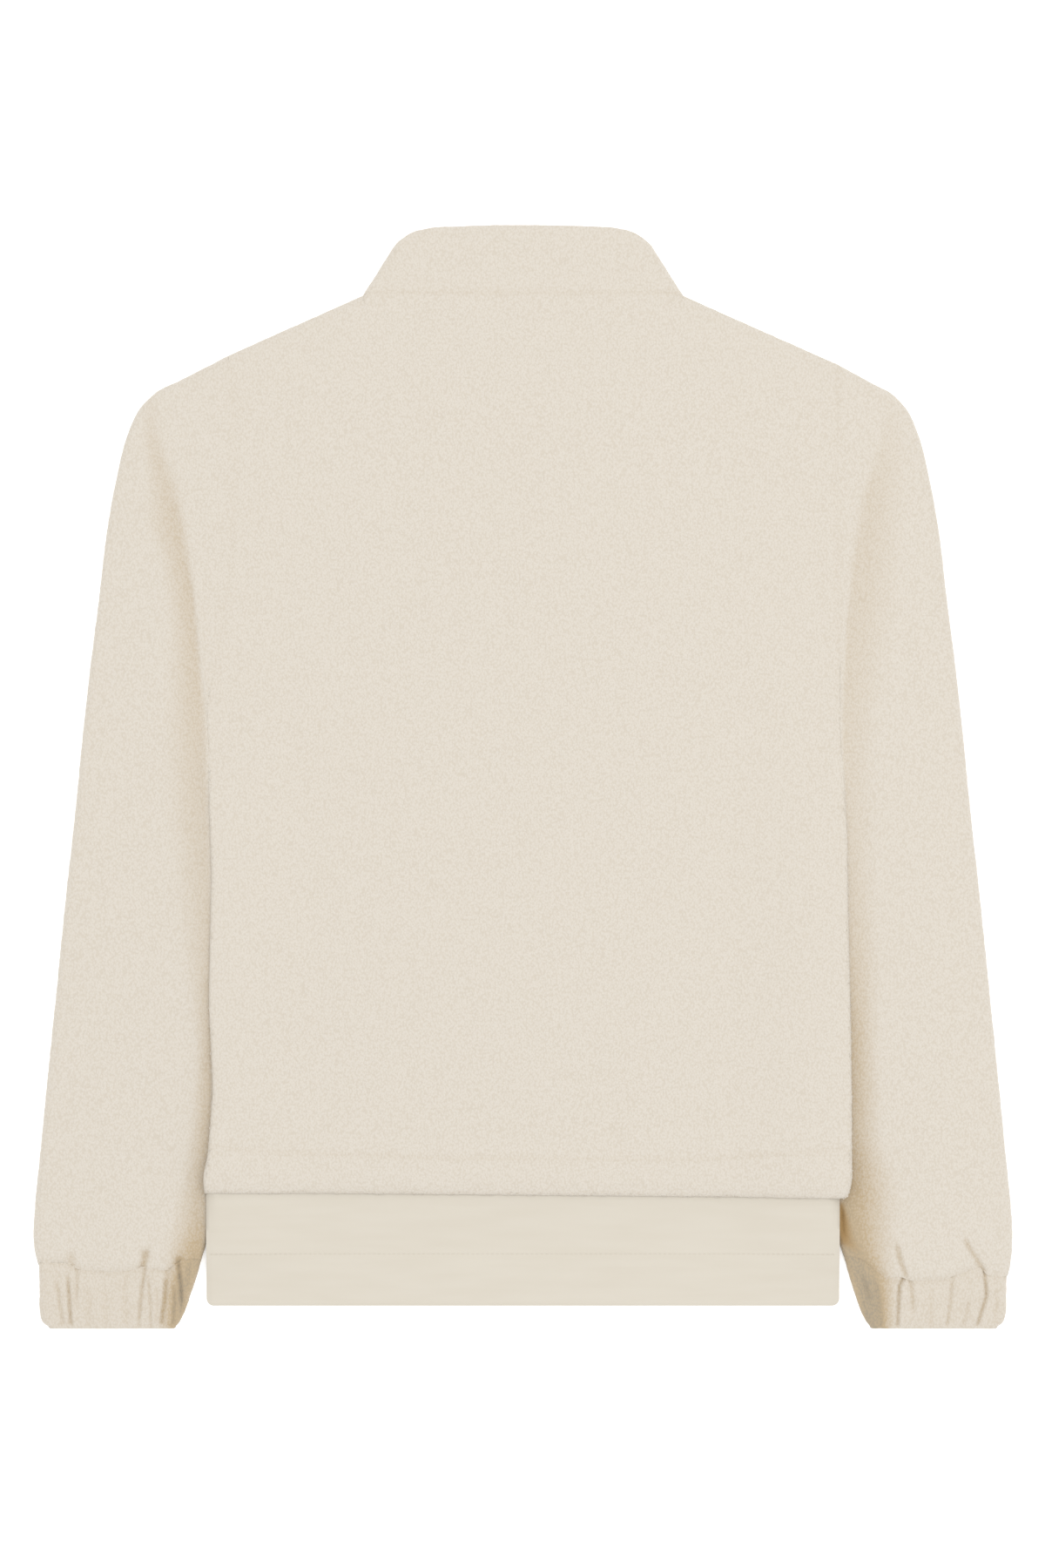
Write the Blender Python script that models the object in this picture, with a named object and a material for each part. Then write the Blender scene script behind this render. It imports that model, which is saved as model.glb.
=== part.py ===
"""Knit bomber jacket, closed and laid flat on its front, with the sleeves down beside the body.

X runs across the jacket, Y towards the collar and Z up from the surface it lies on. The back is on
top, so the wearer's left is at -X. Sizes are in millimetres until a mesh is made. Every cloth piece
is a wall: a grid of outer points and a grid of inner points, joined round their edges.
"""
import math
from collections import namedtuple

import bmesh
import bpy

MM = 0.001
SEAM_GAP = 0.3
QUARTER = math.pi / 2

# Cloth
BOUCLE = 3.0
TURNED_HEM = 5.4  # bouclé and the part of it turned up inside
WOVEN = 1.4
COLLAR_CLOTH = 3.3  # folded double

# Heights above the surface
LAYERS_APART = 3.3  # between the front's inner face and the back's
BODY_HIGH = 2 * BOUCLE + LAYERS_APART
NECK_RISE = 1.3  # the back lies higher over the zip's slider
HEM_RISE = 1.0  # and over the zip's lower end and the band's top edge
COLLAR_EDGE_HIGH = 9.0
FULL_LIFT = 7.0  # the body's side folds lie on the sleeves' inner folds
LIFT_FROM, LIFT_TO = 140.0, 206.0  # distances from the centre between which the lift grows

# Neck
NECK_HALF = 110.7
BACK_NECK_Y = 333.0
NECK_POINT_Y = 331.0
FRONT_NECK_Y = 255.0
FRONT_NECK_POWER = 2.2
NECK_GAP = 0.8
BACK_NECK_STATIONS = (0.0, 52.0)
FRONT_NECK_STATIONS = (30.0, 55.0, 80.0)

# Hem and band
HEM_Y = -288.6
HEM_TILT = -0.009
HEM_CORNER_RISE = 3.0
HEM_CORNER = 14.0
BAND_BOTTOM_Y = -365.4
BAND_HALF = 218.3
BAND_TUCKED_HALF = 211.5
BAND_TOP_Y = -264.0
BAND_CORNER = 5.0
BACK_BAND_TOP_ROWS = (BAND_TOP_Y, -276.0, -288.4, -289.6)  # inside the hem and just below its edge
FRONT_BAND_TOP_Y = -291.5  # butted to the front panels' lower edge
BAND_ROWS = (-300.0, -312.0, -325.0, -335.0, -345.0, -352.0)
BAND_SIDE_COLUMNS = 8
BESIDE_BAND = 0.2  # the sleeves' tucks start this far outside the band's edge

# Front opening and zip
SLOT_HALF = 6.0
CHAIN_HALF, CHAIN_LOW, CHAIN_HIGH = 2.6, 3.3, 5.1
TAPE_OUT, TAPE_LOW, TAPE_CLOTH = 16.0, 3.6, 0.5
ZIP_BOTTOM_Y, ZIP_TOP_Y = -288.0, 299.0
ZIP_BOX_LONG, ZIP_BOX_DROP = 8.0, 0.6
SLIDER_Y = 291.0
SLIDER_WIDE, SLIDER_LONG, SLIDER_PLATE = 7.4, 9.6, 0.8
WEDGE_HALF, WEDGE_LONG, WEDGE_INSET = 1.2, 2.6, 0.4
ARCH_HALF, ARCH_REACH, ARCH_LEG = 0.8, 3.4, 1.0
ARCH_LOW, ARCH_INNER, ARCH_HIGH = 0.1, 0.3, 0.7
LEG_INTO_PLATE = 0.4
PULL_AXIS_Z = 1.4
PULL_BAR, PULL_LONG, PULL_HALF, PULL_THICK = 0.8, 24.0, 2.5, 0.8
EYE_HALF, EYE_LONG = 1.2, 5.2

Side = namedtuple("Side", "name sign shoulder underarm armhole_bow crease_bow edges")
Station = namedtuple("Station", "outer_x outer_y inner_y tuck bow inner_high middle_high outer_high")
CollarCut = namedtuple("CollarCut", "neck_x fold_degrees edge_x edge_y")
CuffRow = namedtuple("CuffRow", "below_seam outer_x inner_x high")
Furrow = namedtuple("Furrow", "share half_wide deep reach")

# The body's side fold: (y, distance from the centre), from the underarm to the hem.
LEFT = Side("left", -1, (203.0, 290.0), (218.7, 46.0), 11.0, 6.0,
            ((46, 218.7), (-10, 216.5), (-65, 214.5), (-155, 216.3), (-215, 213.5), (-262, 217.0),
             (-277, 220.8), (-288, 218.5)))
RIGHT = Side("right", 1, (218.0, 283.3), (219.3, 38.0), 2.0, 11.0,
             ((38, 219.3), (-10, 219.6), (-65, 220.5), (-155, 221.5), (-215, 222.5), (-262, 225.4),
              (-279, 226.8), (-290, 223.0)))

# How high the side folds are lifted: (y, lift).
LIFT = ((40, 0.0), (20, 1.2), (0, 4.0), (-15, 6.0), (-30, FULL_LIFT), (-300, FULL_LIFT),
        (-312, 6.7), (-325, 5.9), (-345, 0.4), (-352, 0.0))
# Underside of the back panel: (y, height), without the lift.
BACK_UNDERSIDE = ((BAND_TOP_Y, BOUCLE + LAYERS_APART + HEM_RISE), (-230, BOUCLE + LAYERS_APART),
                  (200, BOUCLE + LAYERS_APART), (BACK_NECK_Y, BOUCLE + LAYERS_APART + NECK_RISE))
# Thickness of the back panel by the height above its hem, which is turned up and stitched.
HEM_STITCH = 26.0
BACK_CLOTH = ((0.0, 3.4), (1.2, 4.5), (4.0, TURNED_HEM), (20.0, TURNED_HEM), (24.5, 4.4), (26.3, 3.2),
              (28.5, 3.5), (36.0, BOUCLE))
# Undersides of the band's two layers: (y, height), without the lift.
BACK_BAND_UNDERSIDE = ((-352, 1.7), (-325, 1.9), (-312, 2.9), (-300, 4.4), (-289, 5.4), (-264, 5.4))

# The sleeve's head, from the armhole seam to the crease, is cut evenly between these two places.
CREASE_OUTER = (256.0, 263.5)  # where the crease meets the sleeve's outline
SLEEVE_HEAD_CUTS = 3
HEAD_INNER_SHARE = 0.9  # the head's inner ends stop this far along, short of the crease
CREASE_LIP = 10.0  # height of the cloth above the crease
# Cuts across a sleeve from the crease down to the cuff. The inner end is `tuck` inside the body's side
# fold, `bow` is a share of the crease's, and the heights are at the inner fold, middle and outer fold.
SLEEVE_CUTS = (
    Station(262.5, 256.0, 34.0, -1.2, 1.0, 6.9, 7.4, 9.0),
    Station(272.5, 236.0, 28.0, -1.0, 0.7, 6.6, 8.7, 9.6),
    Station(280.5, 204.6, 19.0, -0.6, 0.35, 6.3, 9.4, 9.6),
    Station(287.0, 168.0, 6.0, 0.8, 0.0, 6.3, 9.6, 9.6),
    Station(292.0, 126.0, -14.0, 3.0, 0.0, 6.3, 9.6, 9.6),
    Station(298.0, 78.6, -40.0, 4.6, 0.0, 6.3, 9.6, 9.6),
    Station(304.0, 24.0, -80.0, 5.0, 0.0, 6.3, 9.6, 9.6),
    Station(309.3, -29.4, -125.0, 5.0, 0.0, 6.3, 9.6, 9.6),
    Station(315.3, -83.4, -170.0, 5.0, 0.0, 6.3, 9.6, 9.6),
    Station(321.6, -146.0, -212.0, 5.0, 0.0, 6.3, 9.6, 9.6),
    Station(328.0, -209.4, -246.0, 5.2, 0.0, 6.3, 9.6, 9.6),
    Station(333.6, -266.0, -276.0, 8.4, 0.0, 6.3, 9.7, 9.6),
    Station(336.6, -297.0, -300.0, 5.0, 0.0, 6.3, 9.8, 9.6),
    Station(337.6, -314.0, -314.0, 2.2, 0.0, 6.3, 9.9, 9.4),
    Station(337.2, -325.0, -325.0, -0.6, 0.0, 6.6, 9.9, 9.2),
    Station(336.0, -332.5, -331.0, -2.4, 0.0, 7.4, 9.2, 8.8),
    Station(334.6, -337.0, -334.6, -3.6, 0.0, 7.4, 8.0, 8.0),
)
# Places of the points between the two folds of a sleeve, from the inner to the outer; the body's
# rows beside the armhole lie at the same places.
ACROSS = (0.0, 0.04, 0.1, 0.2, 0.33, 0.5, 0.67, 0.84, 1.0)
UNDER = (1.0, 0.67, 0.33, 0.0)

# Half of the collar, from the centre back round the side fold to the front opening.
COLLAR_CUTS = (
    CollarCut(0.0, 0, 0.0, 379.8),
    CollarCut(52.0, 0, 42.0, 379.0),
    CollarCut(85.0, 0, 68.0, 377.0),
    CollarCut(105.4, 0, 80.5, 372.8),
    CollarCut(109.1, 45, 86.0, 369.4),
    CollarCut(NECK_HALF, 90, 88.5, 366.2),
    CollarCut(109.1, 135, 87.5, 361.0),
    CollarCut(105.4, 180, 83.0, 355.0),
    CollarCut(80.0, 180, 62.0, 333.0),
    CollarCut(55.0, 180, 42.0, 314.5),
    CollarCut(30.0, 180, 22.5, 303.5),
    CollarCut(SLOT_HALF, 180, SLOT_HALF, 299.5),
)
COLLAR_FOLD_START = 105.4
COLLAR_CORNER = (88.5, 366.2)  # where the folded collar's top edge turns to the front
COLLAR_ROUND = 0.965  # share of the collar's height at which its top edge starts to round

CUFF_SEAM_OUTER_Y, CUFF_SEAM_INNER_Y = -337.4, -335.1
CUFF_INNER_DROP = 0.6  # the cuff is this much lower at its inner side
CUFF_PLAIN_STATIONS = (0.0, 0.55, 0.97, 1.0)
FURROW_FADE = 0.3
CUFF_ROWS = (
    CuffRow(0.0, 333.9, 222.9, 8.0),
    CuffRow(6.0, 333.7, 225.0, 8.6),
    CuffRow(20.0, 333.5, 229.5, 8.8),
    CuffRow(33.0, 333.0, 234.3, 8.6),
    CuffRow(39.5, 330.6, 238.0, 8.4),
    CuffRow(42.0, 327.4, 241.0, 7.6),
)
# Furrows of the gathers by their share of the way from the cuff's inner side to its outer side.
FURROWS = {
    "left": (Furrow(0.11, 0.022, 1.0, 1.0), Furrow(0.23, 0.022, 1.2, 1.0), Furrow(0.30, 0.02, 1.0, 0.8),
             Furrow(0.36, 0.022, 1.2, 1.0), Furrow(0.765, 0.018, 0.9, 0.5), Furrow(0.815, 0.02, 1.7, 1.0),
             Furrow(0.875, 0.024, 1.2, 1.0)),
    "right": (Furrow(0.15, 0.024, 1.0, 1.0), Furrow(0.318, 0.024, 1.7, 1.0), Furrow(0.405, 0.02, 0.9, 0.5),
              Furrow(0.64, 0.022, 1.1, 1.0), Furrow(0.745, 0.02, 0.9, 0.5), Furrow(0.84, 0.024, 1.7, 1.0)),
}

# Rows of the body below the underarm, and rows of the hem by their height above its edge.
SIDE_ROWS_Y = (20.0, 5.0, -12.0, -30.0, -75.0, -130.0, -185.0, -230.0)
HEM_ROWS = (36.0, 28.5, 26.3, 24.5, 20.0, 4.0, 1.2, 0.0)
SHOULDER_SHARES = (0.3, 0.5, 0.66, 0.8, 0.91)  # columns between the neck and the side fold
FOLD_SHARES = (1.0, 2 / 3, 1 / 3, 0.0)  # columns and rows on a rounded fold, from its flat side


def mix(a, b, share):
    return a + (b - a) * share


def ease(share):
    share = min(max(share, 0.0), 1.0)
    return share * share * (3 - 2 * share)


def read(table, at):
    """Value of a two-column table at a place, straight between its rows."""
    rows = sorted(table)
    if at <= rows[0][0]:
        return rows[0][1]
    for (low, low_value), (high, high_value) in zip(rows, rows[1:]):
        if at <= high:
            return mix(low_value, high_value, (at - low) / (high - low))
    return rows[-1][1]


def lift(x, y):
    return read(LIFT, y) * ease((abs(x) - LIFT_FROM) / (LIFT_TO - LIFT_FROM))


# ---------------------------------------------------------------- making objects


def add_mesh(name, points, faces, material):
    mesh = bpy.data.meshes.new(name)
    mesh.from_pydata([(x * MM, y * MM, z * MM) for x, y, z in points], [], faces)
    shell = bmesh.new()
    shell.from_mesh(mesh)
    bmesh.ops.recalc_face_normals(shell, faces=shell.faces)
    shell.to_mesh(mesh)
    shell.free()
    mesh.shade_smooth()
    mesh.set_sharp_from_angle(angle=math.radians(50))
    mesh.materials.append(material)
    jacket.objects.link(bpy.data.objects.new(name, mesh))


def add_wall(name, outer, inner, material, ring=False):
    """One closed wall from two grids of points with equal rows; a ring's rows close on themselves."""
    rows, columns = len(outer), len(outer[0])
    points = [point for grid in (outer, inner) for row in grid for point in row]

    def index(layer, row, column):
        return layer * rows * columns + row * columns + column % columns

    faces = []
    last = columns if ring else columns - 1
    for row in range(rows - 1):
        for column in range(last):
            for layer in (0, 1):
                quad = [index(layer, row, column), index(layer, row, column + 1),
                        index(layer, row + 1, column + 1), index(layer, row + 1, column)]
                faces.append(quad if layer == 0 else quad[::-1])
    for column in range(last):
        for row in (0, rows - 1):
            faces.append([index(0, row, column), index(0, row, column + 1),
                          index(1, row, column + 1), index(1, row, column)])
    if not ring:
        for row in range(rows - 1):
            for column in (0, columns - 1):
                faces.append([index(0, row, column), index(0, row + 1, column),
                              index(1, row + 1, column), index(1, row, column)])
    add_mesh(name, points, faces, material)


def add_box(name, low, high, material):
    bpy.ops.mesh.primitive_cube_add(size=1, location=[mix(a, b, 0.5) * MM for a, b in zip(low, high)])
    box = bpy.context.object
    box.name = box.data.name = name
    box.scale = [(b - a) * MM for a, b in zip(low, high)]
    bpy.ops.object.transform_apply(location=False, rotation=False, scale=True)
    for collection in box.users_collection:
        collection.objects.unlink(box)
    jacket.objects.link(box)
    box.data.materials.append(material)
    return box


def combine(target, tool, operation):
    """Adds another solid to this one, or cuts it out."""
    jacket.objects.unlink(tool)
    cutters.objects.link(tool)
    tool.hide_render = True
    tool.display_type = "WIRE"
    change = target.modifiers.new(tool.name, "BOOLEAN")
    change.operation = operation
    change.object = tool


# ---------------------------------------------------------------- the body


def fold_place(from_edge, edge_angle, radius):
    """Angle of a point on a rounded fold, by its distance along the cloth from the piece's edge.

    The edge lies at edge_angle round the fold; past the fold the cloth is flat. Gives the angle and
    how far along the flat the point is.
    """
    curled = radius * edge_angle
    if from_edge < curled:
        return edge_angle - from_edge / radius, 0.0
    return 0.0, from_edge - curled


def armhole_x(side, y):
    share = (y - side.underarm[1]) / (side.shoulder[1] - side.underarm[1])
    straight = mix(side.underarm[0], side.shoulder[0], share)
    return straight - side.armhole_bow * 4 * share * (1 - share)


def side_x(side, y):
    """Distance of the body's edge from the centre: the armhole seam, and below it the side fold."""
    if y >= side.underarm[1]:
        return armhole_x(side, min(y, side.shoulder[1]))
    return read(side.edges, y)


def hem_y(side, x):
    corner = ease((abs(x) - side_x(side, HEM_Y) + HEM_CORNER) / HEM_CORNER)
    return HEM_Y + HEM_TILT * x + HEM_CORNER_RISE * corner


def shoulder_y(side, x):
    share = (abs(x) - NECK_HALF) / (side.shoulder[0] - NECK_HALF)
    return mix(NECK_POINT_Y, side.shoulder[1], share)


def front_neck_y(x):
    return mix(FRONT_NECK_Y, NECK_POINT_Y, (abs(x) / NECK_HALF) ** FRONT_NECK_POWER)


def into_neck_corner(x):
    """How far a place at the neck is from the collar's flat back to its side fold, from 0 to 1."""
    share = (abs(x) - COLLAR_FOLD_START) / (NECK_HALF - COLLAR_FOLD_START)
    return min(max(share, 0.0), 1.0)


def back_neck_y(x):
    return mix(BACK_NECK_Y, NECK_POINT_Y, ease(into_neck_corner(x)))


def underarm_rows(side, radius):
    """The rows that round the underarm: (y, how far round the fold the piece's edge has come)."""
    top = side.underarm[1] + radius
    return [(top - radius * math.sin(angle), angle) for angle in (QUARTER / 2, QUARTER)]


def body_stack(x, y, back):
    """Underside of the front, top of the back and this panel's thickness at a place."""
    raised = lift(x, y)
    above_hem = y - HEM_Y - HEM_TILT * x
    under = read(BACK_UNDERSIDE, y) + raised
    back_thick = read(BACK_CLOTH, above_hem)
    full_thick = TURNED_HEM if above_hem < HEM_STITCH else back_thick
    top = under + full_thick - (full_thick - back_thick) * 0.5
    return raised, top, (back_thick if back else BOUCLE)


def body_point(side, x, y, drop_angle, back, inner, sideways, along):
    """A point of a body panel.

    x and y are where its fold's centre line or its flat part lies, drop_angle is the angle round the
    fold, and the fold bulges sideways (a side fold) or along the length (a shoulder).
    """
    low, top, thick = body_stack(x, y, back)
    radius = (top - low) / 2
    reach = radius - (thick if inner else 0.0)
    height = low + radius + (1 if back else -1) * reach * math.cos(drop_angle)
    bulge = reach * math.sin(drop_angle)
    return (x + side.sign * bulge * sideways, y + bulge * along, height)


def body_rows(side, back, columns_top):
    """The panel's points on one side of the centre: two grids of rows from the shoulder to the hem.

    columns_top are the columns' distances from the centre at the shoulder, up to the side fold.
    """
    radius = BODY_HIGH / 2
    seam_angle = QUARTER - SEAM_GAP / 2 / radius
    fold_length = radius * QUARTER
    outer, inner = [], []

    def columns(y, edge_angle):
        """Distance from the centre and angle of each column at this height."""
        edge = side_x(side, y)
        top_reach = side.shoulder[0] - fold_length
        flat_reach = edge - fold_length
        places = [(x * flat_reach / top_reach if x > SLOT_HALF else x, 0.0) for x in columns_top]
        low, top, _ = body_stack(edge, y, back)
        size = (top - low) / 2
        centre = edge - size * math.sin(edge_angle)
        for share in FOLD_SHARES:
            angle, flat = fold_place(share * size * QUARTER, edge_angle, size)
            places.append((centre - flat, angle))
        return places

    top_places = [x for x, _ in columns(side.shoulder[1], 0.0)]

    def shoulder_or_neck(x):
        if x >= NECK_HALF:
            return shoulder_y(side, x)
        return back_neck_y(x) if back else front_neck_y(x)

    def add_row(places):
        """Adds one row from (x, y, angle round the fold, sideways bulge, bulge along) of each column."""
        for grid, is_inner in ((outer, False), (inner, True)):
            grid.append([body_point(side, side.sign * x, y, angle, back, is_inner, sideways, along)
                         for x, y, angle, sideways, along in places])

    def add_level_row(row_y, edge_angle):
        level = row_y(side.sign * side.shoulder[0])
        add_row([(x, row_y(side.sign * top_x), angle, 1.0, 0.0)
                 for top_x, (x, angle) in zip(top_places, columns(level, edge_angle))])

    def fold_place_at(top_x, share):
        """Where a column lies on the shoulder's fold, a share of the way from its edge: (y, angle)."""
        size = body_stack(side.sign * top_x, shoulder_or_neck(top_x), back)[1] / 2
        edge_angle = math.asin(into_neck_corner(top_x)) * seam_angle / QUARTER
        angle, flat = fold_place(share * size * QUARTER, edge_angle, size)
        return shoulder_or_neck(top_x) - size * math.sin(edge_angle) - flat, angle

    def add_shoulder_row(share):
        centre_y, angle = fold_place_at(side.shoulder[0], share)
        level = centre_y + BODY_HIGH / 2 * math.sin(angle)
        add_row([(x, *fold_place_at(top_x, share), 0.0, 1.0)
                 for top_x, (x, _) in zip(top_places, columns(level, 0.0))])

    def level_y(x):
        """The underarm's level: it differs a little from side to side."""
        return mix(mix(LEFT.underarm[1], RIGHT.underarm[1], 0.5), side.underarm[1],
                   abs(x) / side.shoulder[0])

    for share in FOLD_SHARES[::-1]:
        add_shoulder_row(share)
    for share in reversed(ACROSS[:-1]):
        add_level_row(lambda x: mix(level_y(x) + radius, fold_place_at(abs(x), 1.0)[0], share), 0.0)
    for row_y, angle in underarm_rows(side, radius):
        add_level_row(lambda x: row_y + level_y(x) - side.underarm[1], min(angle, seam_angle))
    for row_y in SIDE_ROWS_Y:
        add_level_row(lambda x: row_y, seam_angle)
    for above in HEM_ROWS:
        add_level_row(lambda x: hem_y(side, x) + above, seam_angle)
    return outer, inner


def shoulder_columns(side, neck_stations):
    """Distances of the columns from the centre at the shoulder, up to the start of the side's fold."""
    reach = side.shoulder[0] - BODY_HIGH / 2 * QUARTER
    round_neck = [mix(COLLAR_FOLD_START, NECK_HALF, share) for share in (0.0, math.sin(QUARTER / 2), 1.0)]
    shoulder = [mix(NECK_HALF, reach, share) for share in SHOULDER_SHARES]
    return list(neck_stations) + round_neck + shoulder


def make_back():
    halves = [body_rows(side, True, shoulder_columns(side, BACK_NECK_STATIONS)) for side in (LEFT, RIGHT)]
    grids = [[left[:0:-1] + right for left, right in zip(halves[0][layer], halves[1][layer])]
             for layer in (0, 1)]
    add_wall("back_panel", grids[0], grids[1], boucle)


def make_fronts():
    for side in (LEFT, RIGHT):
        columns = shoulder_columns(side, (SLOT_HALF,) + FRONT_NECK_STATIONS)
        outer, inner = body_rows(side, False, columns)
        add_wall(f"front_panel_{side.name}", outer, inner, boucle)


# ---------------------------------------------------------------- sleeves and cuffs


def sleeve_cuts(side):
    """The sleeve's cuts as (outer tip, inner tip, bow, inner high, middle high, outer high)."""
    cuts = []
    crease = SLEEVE_CUTS[0]
    crease_inner = (side_x(side, crease.inner_y) - crease.tuck, crease.inner_y)
    for number in range(SLEEVE_HEAD_CUTS + 1):
        share = number / SLEEVE_HEAD_CUTS * HEAD_INNER_SHARE
        outer = [mix(a, b, number / SLEEVE_HEAD_CUTS) for a, b in zip(side.shoulder, CREASE_OUTER)]
        inner = [mix(a, b, share) for a, b in zip(side.underarm, crease_inner)]
        high = mix(BODY_HIGH, CREASE_LIP, share)
        bow = mix(side.armhole_bow, side.crease_bow, share)
        cuts.append((outer, inner, bow, BODY_HIGH, high, BODY_HIGH))
    for cut in SLEEVE_CUTS:
        inner = (side_x(side, cut.inner_y) - cut.tuck, cut.inner_y)
        if cut.inner_y < BAND_TOP_Y:
            inner = (BAND_HALF + BESIDE_BAND - cut.tuck, cut.inner_y)
        cuts.append(((cut.outer_x, cut.outer_y), inner, cut.bow * side.crease_bow,
                     cut.inner_high, cut.middle_high, cut.outer_high))
    return cuts


def flat_tube_ring(outer_tip, inner_tip, bow, heights, thick, shift, stations, dips=None):
    """A ring of points round a flattened tube: over its top, round the outer fold, back underneath.

    heights are at the inner fold, the middle and the outer fold; dips lower the top's points.
    """
    inner_high, middle_high, outer_high = heights
    span = math.dist(outer_tip, inner_tip)
    along = [(a - b) / span for a, b in zip(outer_tip, inner_tip)]

    def place(reach, height):
        share = reach / span
        x = inner_tip[0] + along[0] * reach - bow * 4 * share * (1 - share) + shift
        return (x, inner_tip[1] + along[1] * reach, height)

    def top_height(reach):
        height = mix(inner_high, middle_high, ease((reach - 5) / 24))
        return mix(height, outer_high, ease((reach - span * 0.55) / (span * 0.4)))

    inner_round, outer_round = inner_high / 2, outer_high / 2
    ring = []
    for number, share in enumerate(stations):
        reach = mix(inner_round, span - outer_round, share)
        dip = dips[number] if dips else 0.0
        ring.append(place(reach, top_height(reach) - thick - dip * (0.6 if thick else 1.0)))
    for angle in (QUARTER / 2, 0.0, -QUARTER / 2):
        size = outer_round - thick
        ring.append(place(span - outer_round + size * math.cos(angle), outer_round + size * math.sin(angle)))
    for share in UNDER:
        ring.append(place(mix(inner_round, span - outer_round, share), thick))
    for angle in (-QUARTER / 2, 0.0, QUARTER / 2):
        size = inner_round - thick
        ring.append(place(inner_round - size * math.cos(angle), inner_round + size * math.sin(angle)))
    return ring


def make_tube(name, side, rings):
    grids = [[[(side.sign * x, y, z) for x, y, z in ring] for ring in layer] for layer in rings]
    add_wall(name, grids[0], grids[1], boucle, ring=True)


def make_sleeves():
    for side in (LEFT, RIGHT):
        layers = ([], [])
        for outer, inner, bow, *heights in sleeve_cuts(side):
            for layer, thick in zip(layers, (0.0, BOUCLE)):
                layer.append(flat_tube_ring(outer, inner, bow, heights, thick, SEAM_GAP, ACROSS))
        make_tube(f"sleeve_{side.name}", side, layers)


def make_cuffs():
    for side in (LEFT, RIGHT):
        furrows = FURROWS[side.name]
        stations = list(CUFF_PLAIN_STATIONS)
        for furrow in furrows:
            stations += [furrow.share - furrow.half_wide, furrow.share, furrow.share + furrow.half_wide]
        stations.sort()
        layers = ([], [])
        for row in CUFF_ROWS:
            down = row.below_seam / CUFF_ROWS[-1].below_seam
            dips = [sum(furrow.deep * ease((furrow.reach - down) / FURROW_FADE + 1)
                        for furrow in furrows if station == furrow.share)
                    for station in stations]
            outer = (row.outer_x, CUFF_SEAM_OUTER_Y - SEAM_GAP - row.below_seam)
            inner = (row.inner_x, CUFF_SEAM_INNER_Y - SEAM_GAP - row.below_seam)
            heights = (row.high - CUFF_INNER_DROP, row.high, row.high)
            for layer, thick in zip(layers, (0.0, BOUCLE)):
                layer.append(flat_tube_ring(outer, inner, 0.0, heights, thick, 0.0, stations, dips))
        make_tube(f"cuff_{side.name}", side, layers)


# ---------------------------------------------------------------- collar and hem band


def collar_ring(cut, sign):
    """Points round the collar's wall where it is cut from the neck seam to the top edge."""
    fold = math.radians(cut.fold_degrees)
    neck_y = (back_neck_y if cut.fold_degrees <= 90 else front_neck_y)(cut.neck_x)
    neck_high = read(BACK_UNDERSIDE, BACK_NECK_Y) + BOUCLE
    inwards, upwards = NECK_HALF - COLLAR_CORNER[0], COLLAR_CORNER[1] - NECK_POINT_Y
    slope = math.hypot(inwards, upwards)
    fold_out = (upwards / slope, inwards / slope)
    ends = []
    for x, y, high, out in ((cut.neck_x, neck_y + NECK_GAP, neck_high, (1.0, 0.0)),
                            (cut.edge_x, cut.edge_y, COLLAR_EDGE_HIGH, fold_out)):
        height = high / 2 * (1 + math.cos(fold))
        outer = (x, y, height)
        inner = (x - out[0] * COLLAR_CLOTH * math.sin(fold), y - out[1] * COLLAR_CLOTH * math.sin(fold),
                 height - COLLAR_CLOTH * math.cos(fold))
        ends.append((outer, inner))
    (neck_outer, neck_inner), (edge_outer, edge_inner) = ends

    def between(a, b, share):
        return tuple(mix(p, q, share) for p, q in zip(a, b))

    tip = between(edge_outer, edge_inner, 0.5)
    ring = [between(neck_outer, edge_outer, share) for share in (0.0, 0.5, COLLAR_ROUND)]
    ring.append(tip)
    ring += [between(neck_inner, edge_inner, share) for share in (COLLAR_ROUND, 0.5, 0.0)]
    return [(sign * x, y, z) for x, y, z in ring]


def make_collar():
    left = [collar_ring(cut, LEFT.sign) for cut in COLLAR_CUTS[:0:-1]]
    right = [collar_ring(cut, RIGHT.sign) for cut in COLLAR_CUTS]
    rings = left + right
    count = len(rings[0])
    points = [point for ring in rings for point in ring]
    faces = [[row * count + place, row * count + (place + 1) % count,
              (row + 1) * count + (place + 1) % count, (row + 1) * count + place]
             for row in range(len(rings) - 1) for place in range(count)]
    faces += [list(range(count)), list(range(len(points) - count, len(points)))]
    add_mesh("collar", points, faces, boucle)


def band_half(y):
    """Half the band's width: narrower where it is tucked into the hem, round at its lower corners."""
    if y > HEM_Y:
        return BAND_TUCKED_HALF
    into_corner = min(max(BAND_BOTTOM_Y + BAND_CORNER - y, 0.0), BAND_CORNER)
    return BAND_HALF - BAND_CORNER + math.sqrt(BAND_CORNER ** 2 - into_corner ** 2)


def band_rows(columns, rows, underside):
    """Two grids of a flat strip of the woven band, following the lift at the sides."""
    top, under = [], []
    for y in rows:
        half = band_half(y)
        places = [math.copysign(half, x) if abs(x) == BAND_HALF else x for x in columns]
        low = [underside(y) + lift(x, y) for x in places]
        top.append([(x, y, z + WOVEN) for x, z in zip(places, low)])
        under.append([(x, y, z) for x, z in zip(places, low)])
    return top, under


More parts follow.
